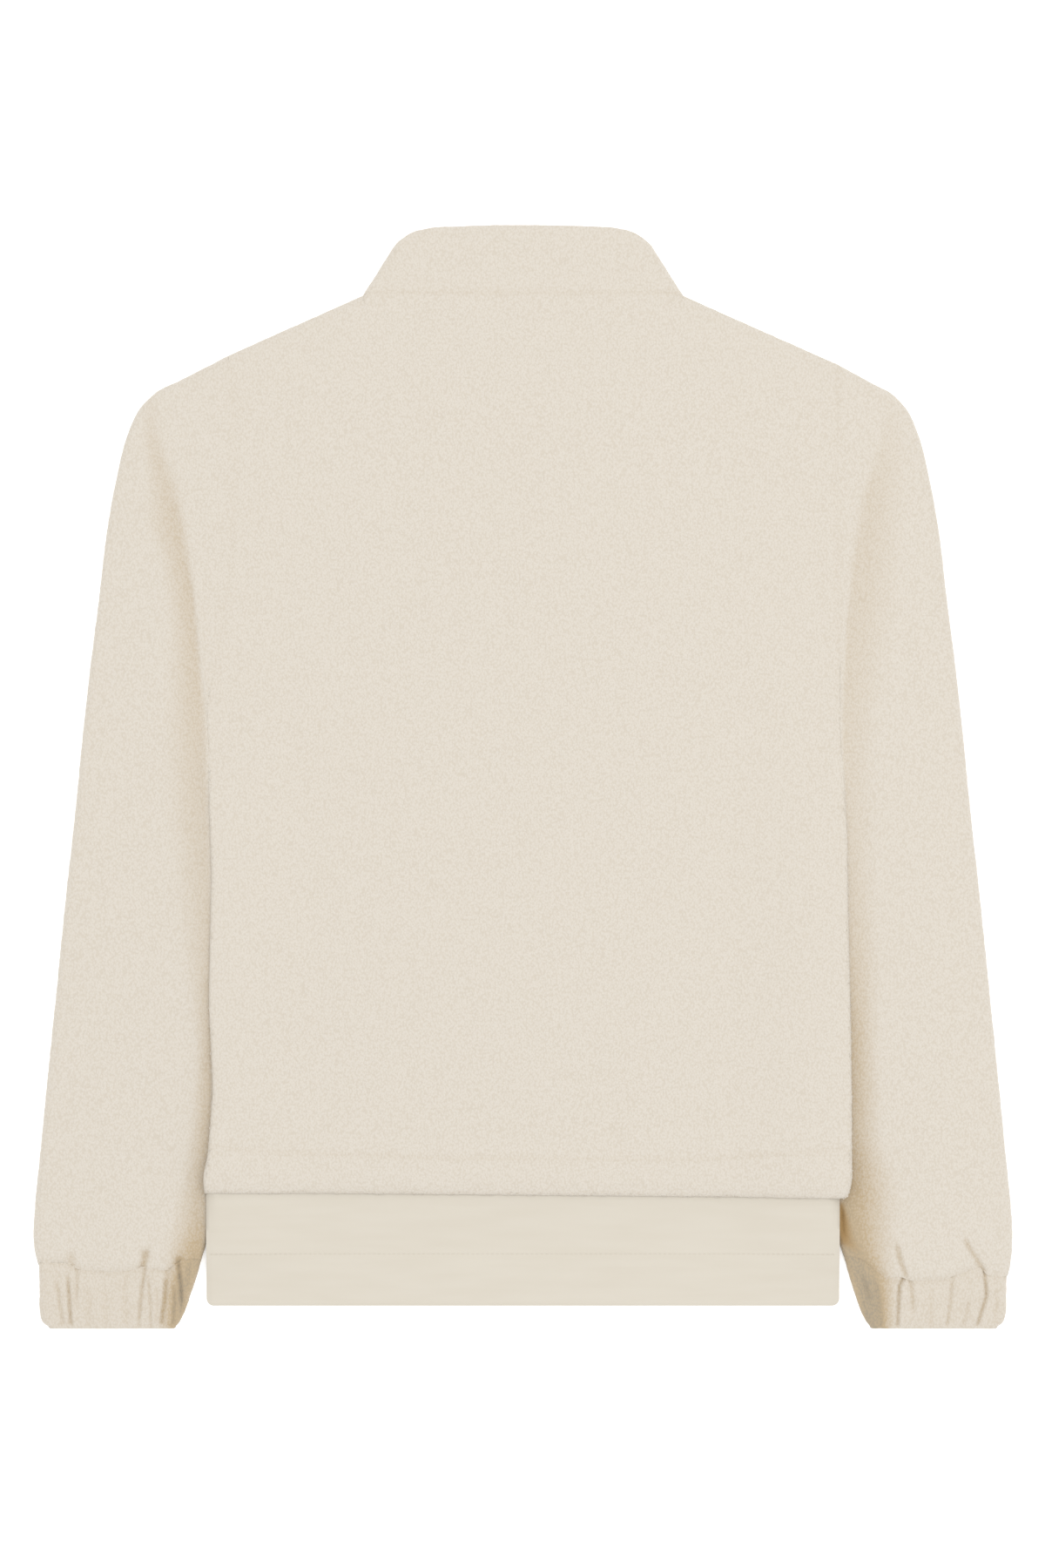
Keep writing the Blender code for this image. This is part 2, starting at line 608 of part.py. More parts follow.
def make_band():
    edge = [mix(LIFT_FROM, LIFT_TO, step / BAND_SIDE_COLUMNS) for step in range(BAND_SIDE_COLUMNS + 1)]
    edge.append(BAND_HALF)
    corner = [BAND_BOTTOM_Y + BAND_CORNER * (1 - math.cos(angle)) for angle in (QUARTER, 0.8, 0.0)]
    columns = [-x for x in edge[::-1]] + [0.0] + edge
    rows = [*BACK_BAND_TOP_ROWS, *BAND_ROWS, *corner]
    top, under = band_rows(columns, rows, lambda y: read(BACK_BAND_UNDERSIDE, y))
    add_wall("hem_band_back", top, under, woven)
    for side in (LEFT, RIGHT):
        columns = [side.sign * x for x in [SEAM_GAP] + edge]
        rows = [FRONT_BAND_TOP_Y, *BAND_ROWS, *corner]
        top, under = band_rows(columns, rows, lambda y: 0.0)
        add_wall(f"hem_band_front_{side.name}", top, under, woven)


# ---------------------------------------------------------------- zip


def make_zip():
    for side in (LEFT, RIGHT):
        x = sorted((side.sign * (CHAIN_HALF + SEAM_GAP), side.sign * TAPE_OUT))
        add_box(f"zip_tape_{side.name}", (x[0], ZIP_BOTTOM_Y, TAPE_LOW),
                (x[1], ZIP_TOP_Y, TAPE_LOW + TAPE_CLOTH), tape)
    box_top = ZIP_BOTTOM_Y + ZIP_BOX_LONG
    add_box("zip_box", (-CHAIN_HALF, ZIP_BOTTOM_Y, CHAIN_LOW - ZIP_BOX_DROP),
            (CHAIN_HALF, box_top, CHAIN_HIGH), metal)
    wedge_y = SLIDER_Y + SLIDER_LONG / 2 - WEDGE_LONG
    add_box("zip_chain", (-CHAIN_HALF, box_top + SEAM_GAP, CHAIN_LOW),
            (CHAIN_HALF, wedge_y - SEAM_GAP, CHAIN_HIGH), metal)
    make_slider(wedge_y)
    make_pull()


def make_slider(wedge_y):
    """Two plates clasp the chain and tapes, with a wedge between them and the pull's arch below."""
    half_wide = SLIDER_WIDE / 2
    low_y, high_y = SLIDER_Y - SLIDER_LONG / 2, SLIDER_Y + SLIDER_LONG / 2
    front_plate_high = CHAIN_LOW - SEAM_GAP
    front_plate_low = front_plate_high - SLIDER_PLATE
    back_plate_low = CHAIN_HIGH + SEAM_GAP
    back_plate_high = back_plate_low + SLIDER_PLATE
    leg_high = front_plate_low + LEG_INTO_PLATE
    slider = add_box("zip_slider", (-half_wide, low_y, front_plate_low),
                     (half_wide, high_y, front_plate_high), metal)
    parts = {
        "slider_back_plate": ((-half_wide, low_y, back_plate_low), (half_wide, high_y, back_plate_high)),
        "slider_wedge": ((-WEDGE_HALF, wedge_y, front_plate_high - SLIDER_PLATE / 2),
                         (WEDGE_HALF, high_y - WEDGE_INSET, back_plate_low + SLIDER_PLATE / 2)),
        "slider_arch": ((-ARCH_HALF, SLIDER_Y - ARCH_REACH, ARCH_LOW),
                        (ARCH_HALF, SLIDER_Y + ARCH_REACH, ARCH_HIGH)),
        "slider_arch_lower_leg": ((-ARCH_HALF, SLIDER_Y - ARCH_REACH, ARCH_INNER),
                                  (ARCH_HALF, SLIDER_Y - ARCH_REACH + ARCH_LEG, leg_high)),
        "slider_arch_upper_leg": ((-ARCH_HALF, SLIDER_Y + ARCH_REACH - ARCH_LEG, ARCH_INNER),
                                  (ARCH_HALF, SLIDER_Y + ARCH_REACH, leg_high)),
    }
    for name, (low, high) in parts.items():
        combine(slider, add_box(name, low, high, metal), "UNION")


def make_pull():
    """The pull's top bar lies inside the arch, and the pull turns about X there."""
    axis = bpy.data.objects.new("pull_axis", None)
    axis.location = (0, SLIDER_Y * MM, PULL_AXIS_Z * MM)
    jacket.objects.link(axis)
    top_y = SLIDER_Y + PULL_BAR / 2
    pull = add_box("zip_pull", (-PULL_HALF, top_y - PULL_LONG, PULL_AXIS_Z - PULL_THICK / 2),
                   (PULL_HALF, top_y, PULL_AXIS_Z + PULL_THICK / 2), metal)
    eye = add_box("pull_eye", (-EYE_HALF, SLIDER_Y - EYE_LONG, PULL_AXIS_Z - PULL_THICK),
                  (EYE_HALF, SLIDER_Y - PULL_BAR / 2, PULL_AXIS_Z + PULL_THICK), metal)
    combine(pull, eye, "DIFFERENCE")
    pull.parent = axis
    pull.matrix_parent_inverse = axis.matrix_basis.inverted()


# ---------------------------------------------------------------- materials and scene


def add_material(name, colour, roughness, metallic=0.0):
    material = bpy.data.materials.new(name)
    material.use_nodes = True
    shader = material.node_tree.nodes["Principled BSDF"]
    shader.inputs["Base Color"].default_value = (*colour, 1.0)
    shader.inputs["Roughness"].default_value = roughness
    shader.inputs["Metallic"].default_value = metallic
    return material


for startup_object in list(bpy.data.objects):
    bpy.data.objects.remove(startup_object)
jacket = bpy.data.collections.new("knit_bomber_jacket")
cutters = bpy.data.collections.new("cutters")
for collection in (jacket, cutters):
    bpy.context.scene.collection.children.link(collection)

boucle = add_material("boucle", (0.78, 0.72, 0.62), 0.95)
woven = add_material("woven_band", (0.76, 0.70, 0.60), 0.8)
tape = add_material("zip_tape", (0.74, 0.68, 0.58), 0.85)
metal = add_material("zip_metal", (0.72, 0.70, 0.66), 0.35, 1.0)

make_back()
make_fronts()
make_sleeves()
make_cuffs()
make_collar()
make_band()
make_zip()
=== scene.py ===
# Knit bomber jacket laid flat on its front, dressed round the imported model.
# Lengths are in millimetres until a mesh is made; +Y runs to the collar and +Z out of the back.
import math
import random

import bmesh
import bpy
import numpy as np
from mathutils import Euler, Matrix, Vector, noise


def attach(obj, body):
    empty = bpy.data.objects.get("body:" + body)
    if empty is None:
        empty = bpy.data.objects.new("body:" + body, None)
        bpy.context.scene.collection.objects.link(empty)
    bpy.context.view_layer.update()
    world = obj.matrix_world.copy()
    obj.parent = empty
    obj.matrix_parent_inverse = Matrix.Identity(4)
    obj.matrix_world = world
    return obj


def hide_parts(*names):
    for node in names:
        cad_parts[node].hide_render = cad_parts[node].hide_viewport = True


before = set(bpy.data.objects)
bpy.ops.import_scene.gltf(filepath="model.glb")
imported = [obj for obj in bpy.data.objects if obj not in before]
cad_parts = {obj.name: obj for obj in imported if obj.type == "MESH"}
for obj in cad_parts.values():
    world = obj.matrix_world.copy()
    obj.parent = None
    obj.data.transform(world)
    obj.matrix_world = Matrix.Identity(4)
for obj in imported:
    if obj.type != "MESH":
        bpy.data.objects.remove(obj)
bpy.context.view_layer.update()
bpy.ops.object.select_all(action="DESELECT")

mm = 0.001
quarter = math.pi / 2
photo = {"size": (1200, 1800), "origin": (600.5, 891.0), "mmPerPixel": 0.6}
print("frame loaded")


def photoPlace(px, py):
    return ((px - photo["origin"][0]) * photo["mmPerPixel"], (photo["origin"][1] - py) * photo["mmPerPixel"])


def photoLine(*places):
    return [photoPlace(*place) for place in places]


def photoTroughs(rows):
    # each row gives places in the photograph, then how deep, half its width, and what is left at each end
    return [(photoLine(*row[:-4]), *row[-4:]) for row in rows]


def mix(a, b, share):
    return a + (b - a) * share


def ease(share):
    share = np.clip(share, 0.0, 1.0)
    return share * share * (3 - 2 * share)


def readTable(table, at, soft=0.0):
    # soft rounds the corners of the table's line
    rows = np.array(sorted(table), float)
    reads = [np.interp(at + soft * step, rows[:, 0], rows[:, 1]) for step in (-1, -0.5, 0, 0.5, 1)]
    return sum(reads) / len(reads) if soft else reads[2]


def throughPoints(knots, values, at):
    # one smooth line through the values; each column of values is read at the same places
    knots, values = np.array(knots, float), np.array(values, float)
    slopes = np.gradient(values, knots, axis=0)
    place = np.clip(np.searchsorted(knots, at, side="right") - 1, 0, len(knots) - 2)
    width = knots[place + 1] - knots[place]
    share = ((at - knots[place]) / width)[:, None]
    width = width[:, None]
    a, b, slopeA, slopeB = values[place], values[place + 1], slopes[place] * width, slopes[place + 1] * width
    return ((2 * share**3 - 3 * share**2 + 1) * a + (share**3 - 2 * share**2 + share) * slopeA
            + (3 * share**2 - 2 * share**3) * b + (share**3 - share**2) * slopeB)


def thinned(count, every, ring=False):
    places = list(range(0, count, every))
    if not ring and places[-1] != count - 1:
        places.append(count - 1)
    return places


def gridNormals(outer, inner, ring):
    across = np.roll(outer, -1, 1) - np.roll(outer, 1, 1) if ring else np.gradient(outer, axis=1)
    normal = np.cross(np.gradient(outer, axis=0), across)
    normal /= np.maximum(np.linalg.norm(normal, axis=2, keepdims=True), 1e-9)
    return normal * np.sign((normal * (outer - inner)).sum())


def addYarn(yarn, path, across, thick):
    # one length of yarn along the path, added to a pair of lists of points and faces
    points, faces = yarn
    first = len(points)
    for number, place in enumerate(path):
        along = path[min(number + 1, len(path) - 1)] - path[max(number - 1, 0)]
        up = along.cross(across).normalized() * thick
        points += [tuple(place + offset) for offset in (across * thick, up, -across * thick, -up)]
    faces += [[first, first + 1, first + 2, first + 3], [len(points) - 1 - side for side in range(4)]]
    for start in range(first, len(points) - 4, 4):
        faces += [[start + side, start + 4 + side, start + 4 + (side + 1) % 4, start + (side + 1) % 4]
                  for side in range(4)]


def gridFaces(index):
    corners = index[:-1, :-1], index[:-1, 1:], index[1:, 1:], index[1:, :-1]
    return np.stack(corners, axis=-1).reshape(-1, 4).tolist()


def edgeFaces(outside, inside, places):
    return [outside[a:b + 1].tolist() + [inside[number + 1], inside[number]]
            for number, (a, b) in enumerate(zip(places, places[1:]))]


def addValues(mesh, label, values):
    # one number for each point of the outside; the points after them get none
    values = np.concatenate([values.ravel(), np.zeros(len(mesh.vertices) - values.size)])
    mesh.attributes.new(label, "FLOAT", "POINT").data.foreach_set("value", values)


def makeWall(name, outer, inner, paintedShade, ring=False, every=4, yarn=((), ())):
    # a closed wall of cloth: its outside has every point, its inside every few, joined round the edges;
    # the painted shade given for each point of the outside goes into its colour, and yarn stands on it
    rows, columns = outer.shape[:2]
    rowPlaces, columnPlaces = thinned(rows, every), thinned(columns, every, ring)
    inside = inner[np.ix_(rowPlaces, columnPlaces)]
    index = np.arange(rows * columns).reshape(rows, columns)
    innerIndex = rows * columns + np.arange(len(rowPlaces) * len(columnPlaces)).reshape(len(rowPlaces), -1)
    if ring:
        index, innerIndex = (np.hstack([grid, grid[:, :1]]) for grid in (index, innerIndex))
        columnPlaces = columnPlaces + [columns]
    faces = gridFaces(index) + [face[:1] + face[:0:-1] for face in gridFaces(innerIndex)]
    for end in (0, -1):
        faces += edgeFaces(index[end], innerIndex[end], columnPlaces)
        if not ring:
            faces += edgeFaces(index[:, end], innerIndex[:, end], rowPlaces)
    points = np.vstack([outer.reshape(-1, 3), inside.reshape(-1, 3)])
    if yarn[0]:
        faces += [[corner + len(points) for corner in face] for face in yarn[1]]
        points = np.vstack([points, yarn[0]])
    mesh = bpy.data.meshes.new(name)
    mesh.from_pydata((points * mm).tolist(), [], faces)
    shell = bmesh.new()
    shell.from_mesh(mesh)
    bmesh.ops.recalc_face_normals(shell, faces=shell.faces)
    shell.to_mesh(mesh)
    shell.free()
    mesh.shade_smooth()
    mesh.set_sharp_from_angle(angle=math.radians(pile["sharpAngle"]))
    # painted shade, kept on the points of the outside for the material to darken the colour with
    addValues(mesh, "paintedShade", np.clip(paintedShade, 0, pile["paintedShadeMost"]))
    piece = bpy.data.objects.new(name, mesh)
    bpy.context.scene.collection.objects.link(piece)
    cloth = sum(face.area for face in mesh.polygons) / 2
    triangles = sum(len(face.vertices) - 2 for face in mesh.polygons)
    print(f"{name}: {triangles} triangles, {cloth:.4f} m2 of cloth")
    return piece


# Relief of the cloth: curled loops a few millimetres across in loose clumps, its troughs and creases, and
# their painted shade.
pile = {
    "loop": 3.2, "clump": 8.0, "loopHigh": 0.28, "clumpHigh": 0.12, "resting": 0.05, "sharpAngle": 70,
    "troughShade": 0.3, "troughFade": 0.3, "paintedShadeMost": 2.0,
    "creaseDeep": 2.2, "creaseSoft": 8.0, "creaseFade": 60.0, "turnedFrom": -0.5, "turnedOver": 0.8,
}
# Loops that stand out where the cloth turns over an edge: how big, how thick their yarn, how far round they
# go, how far in from the edge they may stand, and how many columns are left clear at the hem's corners.
loop = {"size": (0.7, 1.25), "yarn": 0.3, "sunk": 0.75, "round": 4.3, "steps": 6, "tilt": 0.7, "seed": 7,
        "farIn": 4, "cornerClear": 5}


def pileHeight(points):
    loops, clumps = (np.array([noise.noise(Vector(point / pile[size])) for point in points])
                     for size in ("loop", "clump"))
    return loops * pile["loopHigh"] + clumps * pile["clumpHigh"]


def lineDistance(x, y, line):
    # distance from a line through the points, and how far along it the nearest place is
    best, along = np.full(x.shape, 1e9), np.zeros(x.shape)
    for number, ((ax, ay), (bx, by)) in enumerate(zip(line, line[1:])):
        share = np.clip(((x - ax) * (bx - ax) + (y - ay) * (by - ay)) / ((bx - ax)**2 + (by - ay)**2), 0, 1)
        far = np.hypot(x - mix(ax, bx, share), y - mix(ay, by, share))
        along = np.where(far < best, (number + share) / (len(line) - 1), along)
        best = np.minimum(best, far)
    return best, along


def troughDepth(x, y, troughs):
    # troughs: (line, deep, half width, how much is left at its first and last end)
    depth = np.zeros(x.shape)
    for line, deep, wide, startLeft, endLeft in troughs:
        far, along = lineDistance(x, y, line)
        start, end = ease(along / pile["troughFade"]), ease((1 - along) / pile["troughFade"])
        depth += deep * mix(startLeft, 1.0, start) * mix(endLeft, 1.0, end) * np.exp(-(far / wide)**2)
    return depth


def creaseShade(x, y, rows, soft):
    # painted shade: how far in the shade of the body's edge the cloth lies; the rows give a photograph's y,
    # and there the x where the shade starts, where it is deepest and where it has gone, and how strong it is
    if not rows:
        return np.zeros(x.shape)
    levels, *places, strengths = zip(*rows)
    levels = [photoPlace(0, level)[1] for level in levels]
    columns = [[photoPlace(place, 0)[0] for place in column] for column in places] + [strengths]
    start, deepest, gone, strong = (readTable(zip(levels, column), y, soft) for column in columns)
    return strong * ease((x - start) / (deepest - start)) * ease((x - gone) / (deepest - gone))


def knitted(outer, inner, ring=False, troughs=(), crease=()):
    # gives the outside its troughs, its crease and its pile, and says how much painted shade each point gets
    # from the crease and the troughs; what lies on the surface below stays flat
    normal = gridNormals(outer, inner, ring)
    x, y, facesUp = outer[:, :, 0], outer[:, :, 1], normal[:, :, 2]
    troughs = troughDepth(x, y, troughs) * np.clip(facesUp, 0, 1)
    shade = creaseShade(x, y, crease, pile["creaseSoft"])
    shade = shade * ease((facesUp - pile["turnedFrom"]) / pile["turnedOver"])
    creaseDeep = pile["creaseDeep"] * shade * ease((y - body["creaseEnd"]) / pile["creaseFade"])
    height = pileHeight(outer.reshape(-1, 3)).reshape(outer.shape[:2]) - troughs - creaseDeep
    shaped = outer + normal * height[:, :, None]
    shaped[:, :, 2] = np.maximum(shaped[:, :, 2], pile["resting"])
    # painted shade: the crease's shade and the troughs' depth darken the colour
    return shaped, shade + pile["troughShade"] * troughs


def makeLoops(places, outwards):
    dice = random.Random(loop["seed"])
    yarn = ([], [])
    for place, out in zip(places, outwards):
        size = dice.uniform(*loop["size"])
        tilts = [dice.uniform(-loop["tilt"], loop["tilt"]) for _ in range(2)] + [dice.uniform(0, math.tau)]
        turn = Vector(out).to_track_quat("Z", "Y") @ Euler(tilts).to_quaternion()
        base = Vector(place) - Vector(out) * loop["sunk"]
        angles = [loop["round"] * (step / (loop["steps"] - 1) - 0.5) for step in range(loop["steps"])]
        path = [base + turn @ Vector((math.sin(angle) * size, 0, math.cos(angle) * size)) for angle in angles]
        addYarn(yarn, path, turn @ Vector((0, 1, 0)), loop["yarn"])
    return yarn


# The body: a back on top, two fronts below, joined along folds at the shoulders and sides.
body = {
    "cloth": 3.0, "layersApart": 3.3, "neckHalf": 110.7, "collarFold": 105.4,
    "backNeckY": 333.0, "neckPointY": 331.0, "frontNeckY": 255.0, "frontNeckPower": 2.2, "slotHalf": 6.0,
    "hemY": -288.6, "hemTilt": -0.009, "hemCorner": 14.0, "hemCornerRise": 3.0,
    "liftFrom": 140.0, "liftTo": 206.0, "liftSoft": 8.0, "undersideSoft": 10.0, "edgeSoft": 5.0,
    # by y: how far the sleeves and the surface lift the sides, where the underside is, and how square the
    # folds are, which under 1 is squarer than a circle
    "lift": ((40, 0.0), (20, 1.2), (0, 4.0), (-15, 6.0), (-30, 7.0), (-300, 7.0), (-312, 6.7), (-325, 5.9),
             (-345, 0.4), (-352, 0.0)),
    "underside": ((-264, 7.3), (-230, 6.3), (200, 6.3), (333, 7.6)),
    "foldPower": ((70, 0.6), (52, 0.3), (20, 0.35), (-30, 0.6)),
    # by height above the hem's edge: how thick the cloth is, and its top above its underside
    "hemThick": ((0.0, 0.3), (0.3, 0.9), (0.8, 1.6), (1.6, 2.4), (3.0, 3.3), (5.5, 4.3), (9.0, 5.0),
                 (14.0, 5.3), (20.0, 5.2), (25.0, 4.4), (30.0, 3.6), (38.0, 3.0)),
    "hemTop": ((0.0, 0.8), (0.3, 1.3), (0.8, 1.9), (1.6, 2.6), (3.0, 3.4), (5.5, 4.4), (9.0, 5.1),
               (14.0, 5.4), (20.0, 5.2), (25.0, 4.4), (30.0, 3.6), (38.0, 3.0)),
    "creaseEnd": -40.0, "backStep": 1.85, "frontStep": 3.2, "foldFiner": 1.4,
    "foldRows": 7, "armholeLong": 235.0, "underarmRows": 6, "levels": (20.0, -230.0), "hemZone": 36.0,
    "hemRows": (0.0, 0.3, 0.8, 1.6, 3.0, 5.0),
}
bodyHigh = 2 * body["cloth"] + body["layersApart"]
sides = {
    "Left": {"sign": -1, "shoulder": (203.0, 290.0), "underarm": (218.7, 46.0), "armholeBow": 11.0,
             "creaseBow": 6.0,
             "edges": ((46, 218.7), (-10, 216.5), (-65, 214.5), (-155, 216.3), (-215, 213.5), (-262, 217.0),
                       (-277, 220.8), (-288, 218.5))},
    "Right": {"sign": 1, "shoulder": (218.0, 283.3), "underarm": (219.3, 38.0), "armholeBow": 2.0,
              "creaseBow": 11.0,
              "edges": ((38, 219.3), (6, 221.1), (-17, 222.1), (-41, 223.4), (-90, 223.9), (-137, 225.0),
                        (-185, 225.9), (-233, 226.6), (-262, 226.4), (-279, 226.8), (-290, 223.0))},
}


def sideX(side, y):
    (shoulderX, shoulderY), (underarmX, underarmY) = side["shoulder"], side["underarm"]
    share = (np.minimum(y, shoulderY) - underarmY) / (shoulderY - underarmY)
    armhole = mix(underarmX, shoulderX, share) - side["armholeBow"] * 4 * share * (1 - share)
    return np.where(share >= 0, armhole, readTable(side["edges"], y, body["edgeSoft"]))


def sideLift(x, y, soft):
    atSide = ease((abs(x) - body["liftFrom"]) / (body["liftTo"] - body["liftFrom"]))
    return readTable(body["lift"], y, soft) * atSide


def bodyStack(x, y):
    # underside of the front, top of the back, and the back's thickness
    raised = sideLift(x, y, body["liftSoft"])
    above = y - body["hemY"] - body["hemTilt"] * x
    top = readTable(body["underside"], y, body["undersideSoft"]) + raised + readTable(body["hemTop"], above)
    return raised, top, readTable(body["hemThick"], above)


def intoNeckCorner(x):
    return np.clip((abs(x) - body["collarFold"]) / (body["neckHalf"] - body["collarFold"]), 0, 1)


def neckY(x, back):
    if back:
        return mix(body["backNeckY"], body["neckPointY"], ease(intoNeckCorner(x)))
    return mix(body["frontNeckY"], body["neckPointY"], (abs(x) / body["neckHalf"])**body["frontNeckPower"])


def shoulderLine(side, x, back):
    slope = (abs(x) - body["neckHalf"]) / (side["shoulder"][0] - body["neckHalf"])
    shoulder = mix(body["neckPointY"], side["shoulder"][1], slope)
    return np.where(abs(x) >= body["neckHalf"], shoulder, neckY(x, back))


def foldPlace(fromEdge, edgeAngle, radius):
    # where the cloth is round a fold, by its distance along the cloth from the piece's edge
    curled = radius * edgeAngle
    return np.where(fromEdge < curled, edgeAngle - fromEdge / radius, 0.0), np.maximum(fromEdge - curled, 0.0)


def bodyHalf(side, back, step):
    radius = bodyHigh / 2
    foldLength = radius * quarter
    reach = side["shoulder"][0] - foldLength
    stops = [0.0 if back else body["slotHalf"], body["collarFold"], body["neckHalf"], reach]
    flat = np.concatenate([np.linspace(a, b, max(3, round((b - a) / step)), endpoint=False)
                           for a, b in zip(stops, stops[1:])])
    shares = np.linspace(1, 0, max(5, round(foldLength / step * body["foldFiner"])) + 1)

    def columnsAt(y, edgeAngle):
        edge = sideX(side, y)
        low, top, _ = bodyStack(edge * side["sign"], y)
        size = (top - low) / 2
        flatPlaces = np.where(flat > body["slotHalf"], flat * (edge - foldLength) / reach, flat)
        angle, past = foldPlace(shares * size * quarter, edgeAngle, size)
        places = np.concatenate([flatPlaces, edge - size * math.sin(edgeAngle) - past])
        return places, np.concatenate([np.zeros(len(flat)), angle])

    topPlaces, _ = columnsAt(side["shoulder"][1], 0.0)
    neckLine = shoulderLine(side, topPlaces, back)
    size = bodyStack(topPlaces * side["sign"], neckLine)[1] / 2
    edgeAngles = np.arcsin(intoNeckCorner(topPlaces))

    def shoulderRow(share):
        angle, past = foldPlace(share * size * quarter, edgeAngles, size)
        return neckLine - size * np.sin(edgeAngles) - past, angle

    middleUnderarm = (sides["Left"]["underarm"][1] + sides["Right"]["underarm"][1]) / 2
    underarmLine = mix(middleUnderarm, side["underarm"][1], topPlaces / side["shoulder"][0])
    foldEnd, _ = shoulderRow(1.0)
    corner = ease((topPlaces - sideX(side, body["hemY"]) + body["hemCorner"]) / body["hemCorner"])
    hemLine = body["hemY"] + body["hemTilt"] * topPlaces * side["sign"] + body["hemCornerRise"] * corner
    rows = []  # x, y, angle round the fold, bulge sideways, bulge along the length
    for share in np.linspace(0, 1, body["foldRows"]):
        rowY, angle = shoulderRow(share)
        level = rowY[-1] + radius * math.sin(angle[-1])
        rows.append((columnsAt(level, 0.0)[0], rowY, angle, 0.0, 1.0))
    lines = [(mix(underarmLine + radius, foldEnd, share), 0.0)
             for share in np.linspace(1, 0, round(body["armholeLong"] / step))[1:]]
    lines += [(underarmLine + radius * (1 - math.sin(angle)), angle)
              for angle in np.linspace(0, quarter, body["underarmRows"])[1:]]
    levels = [underarmLine] + [np.full(len(topPlaces), level) for level in body["levels"]]
    levels += [hemLine + above for above in (body["hemZone"], body["hemRows"][-1])]
    for upper, lower in zip(levels, levels[1:]):
        steps = max(3, round(abs(upper[0] - lower[0]) / step))
        lines += [(mix(upper, lower, number / steps), quarter) for number in range(1, steps + 1)]
    lines += [(hemLine + above, quarter) for above in body["hemRows"][-2::-1]]
    for line, edgeAngle in lines:
        places, angle = columnsAt(line[-1], edgeAngle)
        rows.append((places, line, angle, 1.0, 0.0))
    x, y, angle = (np.array([row[part] for row in rows]) for part in (0, 1, 2))
    sideways, along = (np.array([row[part] for row in rows])[:, None] for part in (3, 4))
    x = x * side["sign"]
    low, top, thick = bodyStack(x, y)
    half = (top - low) / 2
    layers = []
    power = readTable(body["foldPower"], y)
    upright, outright = (np.clip(part, 0, 1)**power for part in (np.cos(angle), np.sin(angle)))
    for wall in (0.0, thick if back else body["cloth"]):
        height = low + half + (1 if back else -1) * (half - wall) * upright
        bulge = (half - wall) * outright
        layers.append(np.stack([x + side["sign"] * bulge * sideways, y + bulge * along, height], axis=-1))
    return layers


# At a seam the edge of the second piece goes in under the first. The grooves: deep, half width, ends.
seam = {"lap": 1.2, "drop": 0.35, "dropOver": 1.0, "groove": (0.3, 1.8, 1.0, 1.0),
        "hemGroove": (0.3, 1.8, 0.8, 0.8), "armholeGroove": (0.12, 2.4, 1.0, 0.6), "armholePoints": 12}
neckSeam = [(-112, 330.5), (-106, 333), (106, 333), (112, 330.5)]
hemStitchLine = photoLine((236, 1314), (320, 1323), (500, 1329), (800, 1331), (900, 1324), (976, 1318))
armholeSeams = {
    name: [(side["sign"] * float(sideX(side, y)), y)
           for y in np.linspace(side["shoulder"][1], side["underarm"][1], seam["armholePoints"])]
    for name, side in sides.items()}


def makeBack():
    halves = [bodyHalf(sides[name], True, body["backStep"]) for name in sides]
    rows = min(len(half[0]) for half in halves)
    outer, inner = (np.hstack([halves[0][layer][:rows, :0:-1], halves[1][layer][:rows]]) for layer in (0, 1))
    troughs = [(neckSeam, *seam["groove"]), (hemStitchLine, *seam["hemGroove"])]
    troughs += [(armholeSeams[name], *seam["armholeGroove"]) for name in sides]
    shaped, paintedShade = knitted(outer, inner, troughs=troughs)
    normal = gridNormals(shaped, inner, False)
    dice = random.Random(loop["seed"])
    rowCount, columnCount = shaped.shape[:2]
    level = shaped[:, 0, 1]
    places = [(row, side * dice.randint(0, loop["farIn"]) - (side < 0))
              for row in range(rowCount) for side in (1, -1) if level[row] < sides["Left"]["underarm"][1]]
    places += [(rowCount - dice.randint(1, loop["farIn"]), column)
               for column in range(loop["cornerClear"], columnCount - loop["cornerClear"])]
    yarn = makeLoops([shaped[place] for place in places], [normal[place] for place in places])
    return makeWall("backPanel", shaped, inner, paintedShade, yarn=yarn)


def makeFront(name):
    outer, inner = bodyHalf(sides[name], False, body["frontStep"])
    shaped, paintedShade = knitted(outer, inner)
    return makeWall("frontPanel" + name, shaped, inner, paintedShade)


